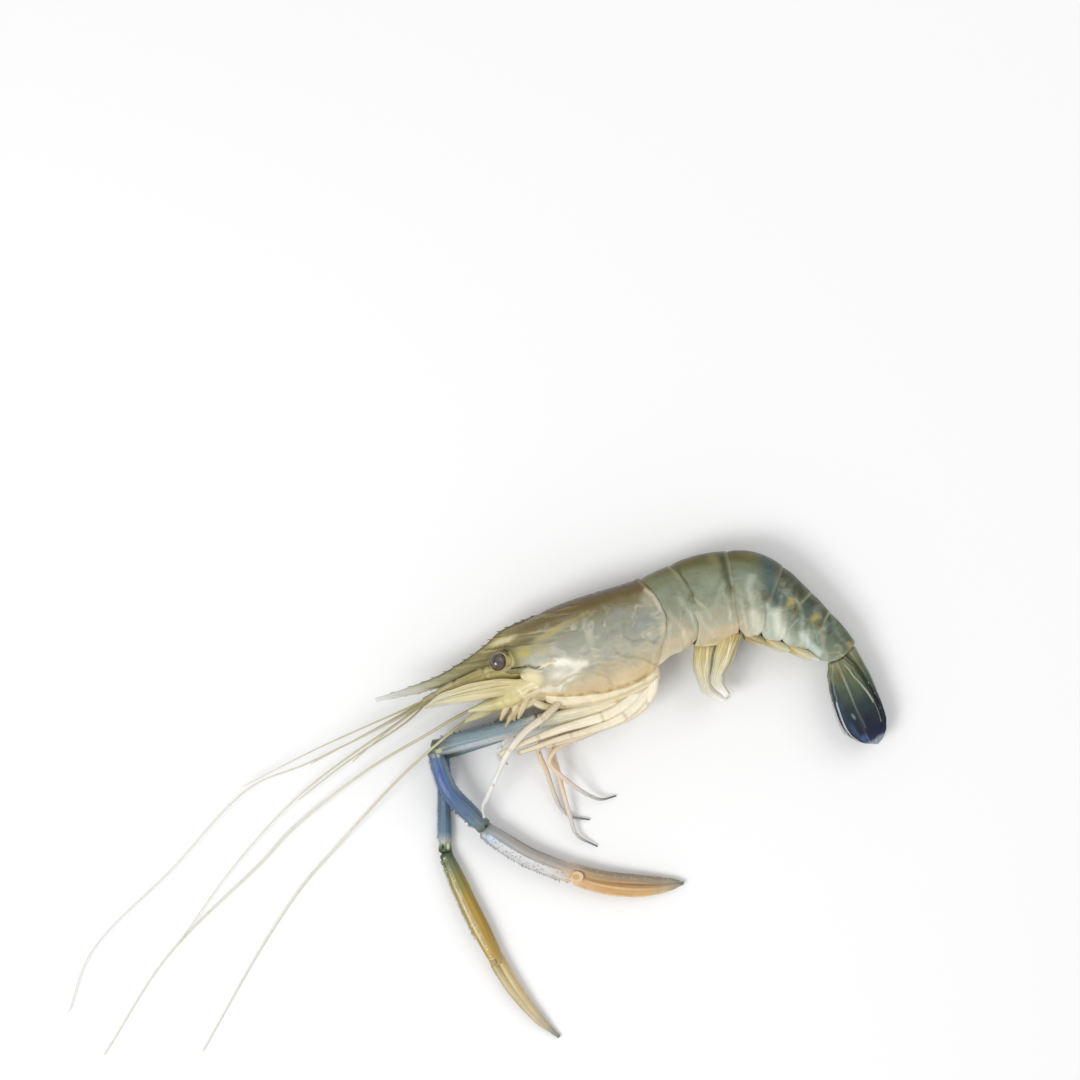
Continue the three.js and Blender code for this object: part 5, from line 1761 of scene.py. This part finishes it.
claw_paints = {
    "base_left": limb_paint(
        "claw_base_left",
        ((0, 238, 230, 204), (16, 232, 222, 192), (32, 214, 208, 180), (43, 196, 194, 178)),
        (24, 7, 18, 2.4, (198, 182, 146), 0.5, 0.8), (28, -3, 14, 3, (242, 236, 214), 0.7),
    ),
    "arm_left": limb_paint(
        "claw_arm_left",
        ((0, 194, 193, 178), (6, 158, 168, 170), (16, 144, 158, 164), (34, 138, 154, 160),
         (40, 126, 138, 138), (44, 114, 122, 110)),
        (24, -8, 26, 5, (122, 140, 148), 0.75, 0.8), (22, 7, 28, 4.2, (198, 202, 204), 0.9, 0.7),
        (10, 9.4, 16, 3, (208, 206, 194), 0.8, 0.8), (42.6, 4, 2, 3.4, (206, 200, 160), 0.85, 0.6),
        (43, -4, 1.8, 4, (72, 78, 58), 0.8, 0.7),
        lines=((0.9, (96, 114, 126), 0.5, ((8, 1.6), (40, 2.2))),),
        speck=(1.3, 0.5, (84, 98, 106), 0.5), tip=(70, 86, 98),
    ),
    "wrist_left": limb_paint(
        "claw_wrist_left",
        ((0, 120, 126, 118), (3, 110, 128, 152), (9, 96, 118, 154), (18, 94, 116, 150),
         (28, 106, 126, 148), (36, 120, 136, 142), (41, 100, 106, 84)),
        (12, 8, 14, 3.6, (138, 152, 166), 0.85, 0.8), (30, 7, 12, 4, (112, 130, 144), 0.6),
        (11, -1, 12, 3.4, (54, 82, 156), 0.75), (20, -9.4, 22, 2.4, (92, 110, 134), 0.7, 0.8),
        (39.6, 3, 2, 4, (64, 72, 46), 0.85, 0.7), (1.4, 4, 1.8, 3, (208, 204, 170), 0.8, 0.6),
        speck=(1.2, 0.45, (58, 76, 110), 0.45), tip=(62, 80, 108),
    ),
    "palm_left": limb_paint(
        "claw_palm_left",
        ((0, 140, 148, 150), (4, 164, 170, 172), (16, 178, 178, 176), (30, 186, 178, 170),
         (38, 200, 182, 164), (42, 208, 180, 150)),
        (22, 6.6, 26, 4.6, (180, 173, 167), 0.9, 0.5), (20, 9.9, 24, 1.8, (132, 134, 134), 0.7, 0.8),
        (20, -5, 26, 5.6, (210, 209, 208), 0.95, 0.45), (4, -4, 5, 5, (176, 196, 220), 0.8, 0.8),
        (40, -1, 2.4, 4, (196, 172, 140), 0.8, 0.7),
        lines=((0.8, (132, 140, 144), 0.7, ((3, 1.4), (20, 1.0), (36, 1.6))),
               # A near-white line along the middle of the palm, a painted highlight.
               (1, (238, 236, 230), 0.5, ((4, -1.6), (36, -1)))),
        speck=(0.72, 1.0, (120, 124, 136), 0.9), only=(1.5, -0.5), tip=(138, 142, 152), streak=0.12,
    ),
    "thumb_left": limb_paint(
        "claw_thumb_left",
        ((0, 190, 178, 164), (9, 174, 154, 126), (20, 164, 144, 120), (34, 160, 143, 122),
         (43, 158, 150, 132), (48, 138, 138, 130)),
        (26, 6.4, 28, 5, (152, 140, 124), 0.9, 0.6), (20, -5, 22, 3, (196, 162, 122), 0.7, 0.8),
        speck=(0.62, 1.0, (206, 200, 188), 0.6), only=(0.0, 3.0), tip=(110, 100, 86), streak=0.15,
    ),
    "finger_left": limb_paint(
        "claw_finger_left",
        ((0, 226, 196, 160), (4, 206, 172, 132), (16, 202, 165, 120), (30, 204, 170, 126),
         (38, 196, 172, 140), (43, 168, 160, 144), (47, 140, 140, 134)),
        (20, -8.6, 26, 2.6, (228, 194, 130), 0.8, 0.8), (18, 2.6, 22, 2, (226, 196, 152), 0.7),
        lines=((0.8, (160, 120, 74), 0.6, ((6, 6), (40, 5))),),
        speck=(0.65, 1.0, (240, 218, 166), 0.7), only=(-3.0, -6.0), tip=(196, 166, 118), streak=0.2,
    ),
    "base_right": limb_paint(
        "claw_base_right",
        ((0, 222, 212, 176), (20, 206, 200, 170), (31, 150, 160, 160)),
        (12, 0, 14, 4, (180, 164, 126), 0.5),
    ),
    "arm_right": limb_paint(
        "claw_arm_right",
        ((0, 156, 162, 160), (10, 120, 138, 148), (30, 104, 126, 140), (38, 98, 110, 106),
                           (41, 92, 98, 76)),
        (20, 6, 22, 4, (184, 190, 192), 0.7, 0.8), speck=(1.1, 0.4, (76, 90, 102), 0.4), tip=(70, 86, 98),
    ),
    "wrist_right": limb_paint(
        "claw_wrist_right",
        ((0, 94, 110, 118), (5, 90, 116, 150), (20, 104, 126, 146), (32, 108, 130, 146),
         (36.4, 166, 172, 168), (38.5, 126, 130, 108), (41, 72, 84, 54)),
        (18, 1, 18, 1.8, (128, 148, 164), 0.6, 0.8), (20, 9.4, 22, 2.4, (88, 108, 128), 0.6, 0.8),
        (20, -9.6, 22, 2.4, (84, 104, 122), 0.6, 0.8), (38.6, 5, 2, 3.4, (218, 222, 180), 0.9, 0.6),
        (38.8, -3, 1.7, 2.8, (56, 62, 38), 0.9, 0.7), (37.4, -8, 1.7, 2.6, (176, 178, 164), 0.7, 0.7),
        speck=(1.2, 0.45, (70, 88, 108), 0.45), tip=(74, 90, 106),
    ),
    "palm_right": limb_paint(
        "claw_palm_right",
        ((0, 88, 102, 82), (4, 112, 120, 94), (12, 140, 134, 84), (22, 166, 142, 80), (36, 172, 145, 84),
         (46, 176, 148, 88), (52, 180, 160, 116)),
        (26, -9, 28, 2.2, (150, 150, 124), 0.8, 0.8), (27, -5.2, 28, 1.9, (222, 212, 176), 0.6, 0.6),
        (22, -2.8, 24, 1.6, (146, 134, 80), 0.6, 0.8), (26, 9.2, 26, 2, (150, 126, 70), 0.6, 0.8),
        (30, 3.4, 18, 2.6, (192, 158, 82), 0.6), (49.5, -1, 1.5, 2.6, (92, 84, 48), 0.9, 0.7),
        speck=(0.62, 1.0, (236, 222, 176), 0.85), only=(-1.0, -4.0), tip=(156, 150, 120), streak=0.2,
    ),
    "thumb_right": limb_paint(
        "claw_thumb_right",
        ((0, 186, 164, 118), (10, 200, 180, 138), (26, 202, 184, 150), (34, 188, 176, 152),
         (40, 164, 160, 148), (44, 134, 134, 128)),
        (18, 8.6, 22, 2, (220, 184, 128), 0.7, 0.8),
        speck=(2.0, 0.4, (150, 138, 112), 0.4), tip=(150, 140, 116),
    ),
    "finger_right": limb_paint(
        "claw_finger_right",
        ((0, 176, 162, 120), (10, 196, 180, 144), (26, 204, 188, 154), (34, 190, 178, 152),
         (40, 158, 154, 144), (43, 132, 132, 126)),
        (18, -8.4, 24, 2.4, (172, 162, 134), 0.8, 0.8), speck=(1.8, 0.5, (140, 130, 106), 0.5),
        tip=(150, 142, 120),
    ),
}
ROWS = {"arm": ARM_ROWS, "wrist": WRIST_ROWS, "palm": PALM_ROWS, "thumb": FINGER_ROWS, "finger": FINGER_ROWS}
CLAW_SLOTS = {
    "base": "leg", "arm": "claw_blue", "wrist": "claw_blue", "palm": "claw_palm", "thumb": "claw_finger",
    "finger": "claw_finger",
}
for side, sign in SIDES:
    for i, kind in enumerate(CLAW_SLOTS):
        thin = kind in ("thumb", "finger")
        made = link(side, kind, squash=0.95, ridge=0.03, waist=0.0 if thin else 0.07)
        if kind in ROWS:
            spiny(made, ROWS[kind], seed=20 * i + (sign > 0))
        if kind == "finger":
            made = join(made, hinge_ring(*HINGE_RINGS[side]))
        stands_for = {"thumb": ()}.get(kind, (f"claw_{side}_{kind}",))
        dress(made, claw_paints[f"{kind}_{side}"], CLAW_SLOTS[kind], *stands_for)

# %% [markdown]
# ## Walking legs and mouth legs
# Three pairs of slender legs walk, one pair ends in small pincers, and a pair of mouth legs folds under the
# head. They are cream to grey, with tan lines of painted shade along both sides, dark specks at the joints, and
# horn-dark last links that end in a point. All of them are limbs again, pinched where one link meets the next.

# %% Thin legs
LEG_SIZES = (1.9, 1.85, 1.7, 1.4, 1.1, 1.0, 0.9, 0.3)
NEAR_LEG_SIZES = (2.5, 2.5, 2.2, 1.7, 1.3, 1.1, 0.95, 0.4)
SMALL_CLAW_SIZES = (1.6, 1.6, 1.55, 1.3, 1.0, 1.1, 0.5)
MOUTH_SIZES = (1.9, 1.6, 1.3, 0.5)
LEGS = {
    "mouth_leg_left": (((-50, -34.2, 21), (-56, -37.2, 23.4), (-60.6, -40.6, 24), (-63.6, -45.6, 23.8)),
                       MOUTH_SIZES, (7, 13)),
    "mouth_leg_right": (((-50, -34, 12), (-58, -38.2, 12), (-64, -40.6, 12.2), (-68.4, -44.4, 12.4)),
                        MOUTH_SIZES, (8, 15)),
    "small_claw_leg_left": (
        ((-40, -34.5, 22), (-47, -41.2, 26.4), (-55.4, -47.6, 26.6), (-62.4, -56.4, 25),
         (-66.4, -64.5, 21), (-71, -75.2, 15.4), (-73.2, -80, 13.6), (-72.7, -84.6, 12.4)),
        SMALL_CLAW_SIZES, (12, 31, 49)),
    "small_claw_leg_right": (
        ((-40, -35, 12.5), (-48, -41, 12.6), (-58, -47.4, 12.2), (-65, -54, 11.2), (-66.4, -59.5, 9.6),
         (-63.0, -62.5, 7.8)),
        SMALL_CLAW_SIZES, (10, 22, 32)),
    "walking_leg_1_left": (
        ((-8, -24, 15.5), (-7.6, -29.6, 18.5), (-11.2, -34.6, 20.6), (-20, -40.2, 22), (-30, -43.6, 22.4),
         (-41.5, -47, 22.8), (-57.5, -53.2, 22.4), (-66.2, -57.6, 20.2), (-61, -55.2, 17), (-46, -50.2, 15.8),
         (-36, -47.4, 15.8)),
        NEAR_LEG_SIZES, (27, 55, 73, 98)),
    "walking_leg_2_left": (
        ((-4, -21, 15.5), (-3, -28, 17.6), (-6.4, -34.2, 19.6), (-15.2, -41.9, 21.2), (-27.7, -47, 21.8),
         (-41.4, -50.9, 22), (-50.4, -54, 21.6), (-58, -56.8, 19.6), (-52, -55.4, 16.8), (-44, -54, 16)),
        NEAR_LEG_SIZES, (25, 49, 72, 84)),
    "walking_leg_3_left": (
        ((-1.5, -23, 18), (-2.6, -31.4, 19), (-9.6, -39.8, 17.2), (-24, -46.6, 17.6), (-37, -51.2, 18),
         (-46.4, -54, 17.8), (-40, -51.6, 14.2), (-29, -46.6, 14.2)),
        NEAR_LEG_SIZES, (13, 38, 56, 70)),
    "walking_leg_1_right": (
        ((-12, -33, 12.4), (-20, -41.2, 11.8), (-30, -45.4, 11.4), (-40, -49.2, 10.6), (-49.6, -55, 8.6),
         (-46.2, -66, 5.6), (-40.3, -81.5, 2.2), (-36.1, -85, 1.5), (-28.1, -86.5, 0.9)),
        LEG_SIZES, (13, 34, 47, 77)),
    "walking_leg_2_right": (
        ((-7, -30, 9.4), (-15, -38.5, 7.8), (-30, -46.2, 6.8), (-43.6, -53.6, 8), (-41.4, -66, 7),
         (-36.6, -84, 4.4), (-33.4, -92.8, 2.6), (-24.8, -97.9, 0.9)),
        LEG_SIZES, (12, 30, 46, 85)),
    "walking_leg_3_right": (
        ((-1.5, -23, 10.5), (-4.6, -34, 10.6), (-16, -43.2, 11.2), (-30, -49.8, 11.8), (-41.5, -55, 12.2),
         (-45.2, -61, 11.6), (-38, -69, 9.6), (-28.1, -76, 4.6), (-23.1, -77.7, 3), (-16.8, -76.4, 1)),
        LEG_SIZES, (12, 27, 45, 86)),
}


LEG_RUNS = {
    "mouth": ((216, 204, 172), (204, 190, 156), (196, 180, 144), (190, 174, 138), (182, 166, 130)),
    "small": (
        (208, 193, 164), (220, 210, 190), (232, 229, 220), (228, 228, 226), (206, 206, 202),
    ),
    "left": ((243, 236, 214), (241, 232, 208), (230, 217, 192), (214, 203, 180), (206, 200, 184)),
    "right": ((226, 210, 184), (222, 206, 182), (232, 209, 180), (206, 202, 196), (98, 94, 92)),
}
# Tan lines of painted shade along both edges of each leg.
SIDE_SHADE_LINE = (196, 178, 146)


def leg_paint(name, length, joints, tip_start):
    """Cream links with thin brownish lines of painted shade along both sides, a dark spot at each joint, and
    dark tips on the far side.
    """
    look = name.split("_")[0]
    look = look if look in LEG_RUNS else name.split("_")[3]
    rows = [(length * 0.3, 4, length * 0.4, 2.4, (244, 236, 214), 0.5)]
    rows += [(joint, 0, 1.2, 12, (186, 170, 138), 0.45, 0.8) for joint in joints]
    rows += [(joint + 0.5, 3, 0.7, 2.4, (88, 80, 68), 0.6, 0.6) for joint in joints[2:]]
    lines = [(1.1, SIDE_SHADE_LINE, 0.6, ((2, across), (tip_start - 2, across))) for across in (-8.6, 8.8)]
    places = (0, length * 0.28, length * 0.6, tip_start - 1, length)
    run = [(place, *tint) for place, tint in zip(places, LEG_RUNS[look])]
    return limb_paint(name, run, *rows, lines=lines, speck=(1.6, 0.2, (150, 130, 98), 0.3), streak=0.25)


for name, (route, sizes, joints) in LEGS.items():
    kind = name.split("_")[0]
    thick = [size * (0.78 if kind == "walking" else 0.85) for size in sizes]
    leg = limb(name.replace("_leg", "_limb"), in_frame(route), sizes, thick, sides=18, rings=150,
               shape=knuckled(*joints, depth=0.12))
    length = forms[leg.name][-1]
    tip_start = length * 0.8 if kind == "mouth" else joints[-1]
    seed = len(name) + joints[0]
    row_of(leg, HAIR, "leg_hairs", length * 0.3, length - 1, 1.3, math.pi, (0.07, 0.8), lean=0.9, seed=seed)
    row_of(leg, HAIR, "leg_hairs", length * 0.3, length - 1, 1.5, 0.3, (0.07, 0.7), lean=0.9, seed=seed + 1)
    dress(leg, leg_paint(name + "_shell", length, joints, tip_start), "leg", name)

# %% Soft mouth and its feelers
PALPS = (
    ((-61, -33.6, 21.5), (-63.4, -38, 23.4), (-65.5, -42.7, 23)),
    ((-58.3, -33, 22.5), (-59.6, -38, 24), (-60.1, -42.7, 23.4)),
    ((-53.9, -33, 22.5), (-56.4, -37.6, 24.4), (-58.2, -42, 24)),
    ((-53.9, -34.3, 21.5), (-46.5, -37.4, 23), (-39.1, -37.1, 22.4)),
)
mouth_paint = limb_paint(
        "mouth_skin",
        ((0, 224, 210, 176), (8, 196, 182, 144), (16, 214, 202, 166)),
    # A brown patch of painted shade where the gaps between the mouth parts lie.
    (7, 4, 6, 5, (120, 104, 70), 0.6),
)
palp_paint = limb_paint(
        "mouth_feelers",
        ((0, 204, 190, 154), (5, 216, 202, 168), (10, 192, 178, 142)),
    # A dark line of painted shade along one side of each mouth feeler, where the gap beside it falls dark.
    lines=((0.9, (128, 110, 70), 0.7, ((0, -8.4), (10, -8.4))),),
)
mouth = limb(
    "soft_mouth", [on_body(-50, -14), on_body(-58, -14.5), on_body(-64, -13.5)], (7.5, 6.5, 4.5),
    across=(0.3, 0.95, 0), sides=40, rings=30,
)
dress(mouth, mouth_paint, "membrane")
palps = [
    limb(f"palp_{i}", in_frame(route), (1.5, 1.6, 1.3, 0.7), (1.1, 1.2, 1.0, 0.6), sides=16, rings=24)
    for i, route in enumerate(PALPS)
]
dress(join(*palps), palp_paint, "membrane")

# %% [markdown]
# ## The breast
# Under the edge of the head shell the limbs grow out of a pale soft breast, which shows as a band of wet
# membrane with tan blotches and a dark patch of painted shade at its front. It is one soft form with a swelling
# for each leg base. Separate balls would look like beads.

# %% Breast
BREAST_START = -56.0
BREAST_END = -5.0
BREAST_HALF_WIDTH = 8.0
BREAST_DEPTH = 5.0
LEG_BASES = (-50, -43, -35, -26, -17, -9)

breast, along, angle = extruded("breast_skin", 56, 90)
at = BREAST_START + (BREAST_END - BREAST_START) * along
belly = size_at(at)[1]
bulge = np.sin(np.pi * (0.18 + 0.64 * along))
knob = sum(band_at(at, base, 2.4) for base in LEG_BASES)
ends = np.sqrt(np.clip(1 - np.clip(np.abs(along - 0.5) * 2 - 0.93, 0, 1) / 0.075, 0, 1))
depth = (BREAST_DEPTH + 3 * bulge) * (0.96 + 0.04 * knob) * ends
wide = BREAST_HALF_WIDTH * (0.6 + 0.4 * bulge) * (0.95 + 0.06 * knob) * ends
middle = -belly + 3
place_points(breast, straighten(at, middle + depth * np.cos(angle), wide * np.sin(angle)))
face_out(breast)
bend(breast)
dress(breast, membrane, "membrane", "breast")

# %% [markdown]
# ## The tail fan
# The last hoop ends in the telson, a narrow pointed plate, with two broad blades on each side that fold
# over each other. They are thin, with a raised midrib and fine light lines, they darken to navy near the
# end, and fine bristles fringe them. A blade is a very flat limb, so rib and edge belong to its section.

# %% Telson and blades
TELSON_LINE = ((86.8, 4.0), (98, 5.4), (108, 6.2), (118, 6.2))
BLADES = {
    "outer": (5.4, -3.6, 37.9, (3.4, 5.6, 6.8, 7.6, 7.8, 7.4, 6)),
    "inner": (2.4, -0.6, 39.4, (2, 5, 7, 7.8, 7.4, 6.2)),
}
FAN_TURN = math.radians(21)
BLADE_RUN = ((0, 132, 132, 104), (7, 104, 110, 86), (14, 84, 95, 85), (22, 64, 74, 76), (28, 46, 58, 72),
             (33, 26, 46, 74), (35.4, 48, 66, 94), (37.4, 150, 158, 168))


def blade_paint(name, *rows, lines=()):
    """The fan's run of colours, with a blade's own patches and lines over it."""
    return limb_paint(
        name, BLADE_RUN, *rows, lines=lines, speck=(1.4, 0.3, (44, 52, 56), 0.3), mottle=0.4,
        tip=(222, 222, 226),
    )


telson_paint = blade_paint(
    "telson", (6, -5, 5, 3, (150, 138, 88), 0.6),
    lines=((0.9, (160, 166, 148), 0.7, ((2, 5), (16, 7), (30, 8))),
           (0.8, (150, 156, 140), 0.6, ((2, -5), (30, -7)))),
)
outer_paint = blade_paint(
    "outer_blade", (5.3, -2, 3.4, 2.4, (122, 106, 52), 0.9), (10, 5, 8, 4, (112, 122, 96), 0.5),
    (24, -3.4, 2.2, 1.1, (134, 146, 148), 0.85, 0.8, 20), (31, -6.5, 8, 2.4, (92, 108, 128), 0.6),
    (29, 3, 7, 6, (20, 42, 72), 0.7), (34.4, -4, 2.4, 5, (84, 112, 142), 0.7, 0.9, 20),
    lines=((0.9, (178, 182, 162), 0.85, ((2.4, 5.2), (8.6, 6.4), (15.3, 8.6), (21, 9.8))),
           (0.8, (104, 116, 104), 0.6, ((5, -1.6), (20, -0.6), (30, 0.6))),
           (1.6, (58, 78, 100), 0.7, ((9, -8.2), (20, -7.8), (33, -7))),
           (0.6, (206, 210, 214), 0.9, ((16, -9.8), (34, -9.6)))),
)
inner_paint = blade_paint(
    "inner_blade", (8, 4, 8, 4, (120, 124, 88), 0.5),
    lines=((0.8, (150, 158, 148), 0.6, ((4, 0), (20, 0.6), (34, 1))),),
)

telson_route = [on_body(at, rise) for at, rise in TELSON_LINE]
telson = limb(
    "telson_plate", telson_route, (4.4, 4.2, 3.2, 1.4), (2.6, 1.9, 1.3, 0.6), across=(0, 0, 1),
    sides=44, rings=70, shape=ribbed(0.45, 0.2),
)
row_of(telson, SPINE, "telson_spines", 16, 31, 5, 0.4, (0.5, 1.0), lean=1.4, seed=3)
row_of(telson, SPINE, "telson_spines", 16, 31, 5, math.pi - 0.4, (0.5, 1.0), lean=1.4, seed=4)
dress(telson, telson_paint, "tail_fan", "telson")

for side, sign in SIDES:
    for kind, (offset, rise, length, half_widths) in BLADES.items():
        route = [
            on_body(87.2 + part * length, rise + (0.9 * math.sin(math.pi * part) * min(sign, 0)),
                    sign * offset * (0.85 + 0.15 * part))
            for part in (0, 0.35, 0.7, 1)
        ]
        blade = limb(
            f"blade_{kind}_{side}", route, half_widths, (1.1, 0.8, 0.55, 0.45),
            across=(math.cos(FAN_TURN), math.sin(FAN_TURN), 0), sides=64, rings=120,
            shape=ribbed(0.05, 0.8, 0.3, rounding=10),
        )
        long = forms[blade.name][-1]
        for first, turn, seed in ((0.5, 0.0, 7), (0.4, math.pi, 8)):
            row_of(blade, HAIR, "fringe", long * first, long - 7, 0.2, turn, (0.14, 0.9), lean=1.5, jitter=0.06,
                   seed=seed)
        dress(blade, outer_paint if kind == "outer" else inner_paint, "tail_fan", f"tail_blade_{kind}_{side}")

# %% [markdown]
# ## Swimmerets
# Five pairs of paddles hang under the abdomen. The front two pairs droop freely, the others lie back
# against the belly. Each is a stout base and two leaf-thin paddles with a bristled edge.

# %% Swimmerets
HANGING_ROUTES = (
    ((20.8, -9), (19.6, -21.5), (21.8, -30.6), (28.4, -35)),
    ((31, -6.5), (27.4, -18), (24.8, -26.8), (29.2, -33)),
)
SWIMMERET_LEVELS = (4.2, 6.4)
TUCKED_STARTS = (42, 54, 66)
TUCKED_ROUTE = ((0, 2.2, 4.4), (6, 0.7, 4.6), (14, 0.2, 4.0))
SECOND_WIDTH = 0.72
SECOND_THICKNESS = 0.8

paddle_paint = limb_paint(
        "swimmeret",
        ((0, 178, 158, 106), (7, 200, 184, 134), (14, 206, 197, 160), (21, 214, 209, 186),
         (27, 240, 237, 228)),
    (12, 3.5, 14, 1.2, (240, 236, 214), 0.6, 0.8, 4), (16, -8.4, 10, 1.4, (168, 176, 164), 0.7, 0.8),
    (3, 0, 3, 6, (184, 158, 98), 0.5),
    lines=((0.9, (246, 242, 224), 0.5, ((2, 0.5), (8, 2.5), (16, 0), (24, 1))),
           (0.8, (240, 234, 212), 0.4, ((3, -4), (12, -5.6), (20, -3.6))),
           (0.8, (240, 234, 212), 0.35, ((4, 5.4), (18, 4))),
           (2, (126, 138, 130), 0.75, ((2, 8.6), (10, 8), (18, 8.4))),
           (0.8, (186, 170, 120), 0.6, ((1, -1.8), (14, -2)))),
    speck=(1.3, 0.25, (150, 122, 74), 0.35), streak=0.35,
)
tucked_paint = limb_paint(
        "tucked_swimmeret",
        ((0, 184, 166, 118), (6, 206, 198, 164), (12, 224, 221, 204), (16, 226, 224, 210)),
    lines=((0.9, (246, 242, 226), 0.7, ((2, 1), (14, 0))),), speck=(1.3, 0.25, (150, 122, 74), 0.3), streak=0.3,
)
for side, sign in SIDES:
    for pair in range(5):
        name = f"swimmeret_{pair + 1}_{side}"
        if pair < 2:
            level = midline_height(20) + sign * SWIMMERET_LEVELS[pair]
            route = in_frame([(x, y, level) for x, y in HANGING_ROUTES[pair]])
            second = [p + Vector((2.2 * i / 3, 0.8 * i / 3, -1.5 * sign)) for i, p in enumerate(route)]
            sizes, thin, across = (4.6, 4.2, 2.6, 1.2), (1.0, 0.7, 0.45), (1, 0, 0)
        else:
            places = [(TUCKED_STARTS[pair - 2] + at, above, left) for at, above, left in TUCKED_ROUTE]
            route = on_side([(at, above - size_at(at)[1], left) for at, above, left in places], sign)
            second = [p + Vector((0, 0, -1.6 * sign)) for p in route]
            sizes, thin, across = (2.2, 3.0, 0.9), (2.2, 1.9, 0.7), (0, 0, 1)
        paddle = limb(
            "paddle_" + name, route, sizes, thin, across=across, sides=40, rings=46, shape=ribbed(0.2, 0.4),
        )
        other = limb(
            "second_" + name, second, [s * SECOND_WIDTH for s in sizes], [t * SECOND_THICKNESS for t in thin],
            across=across, sides=32, rings=40, shape=ribbed(-0.2, 0.4),
        )
        for part in (paddle, other):
            long = forms[part.name][-1]
            for turn in (0.0, math.pi):
                row_of(part, HAIR, "paddle_hairs", long * 0.3, long, 0.4, turn, (0.08, 1.2), lean=1.2,
                       jitter=0.1, seed=pair + 11)
        dress(join(paddle, other), paddle_paint if pair < 3 else tucked_paint, "swimmeret", name)

# %% [markdown]
# ## Finish
# The body line was only a guide and is taken away. The sizes of the plain model are printed.

# %% Measure and finish
bpy.data.objects.remove(spine)
print("plain:", [round(v / MM, 1) for c in CAD_BOX for v in c])
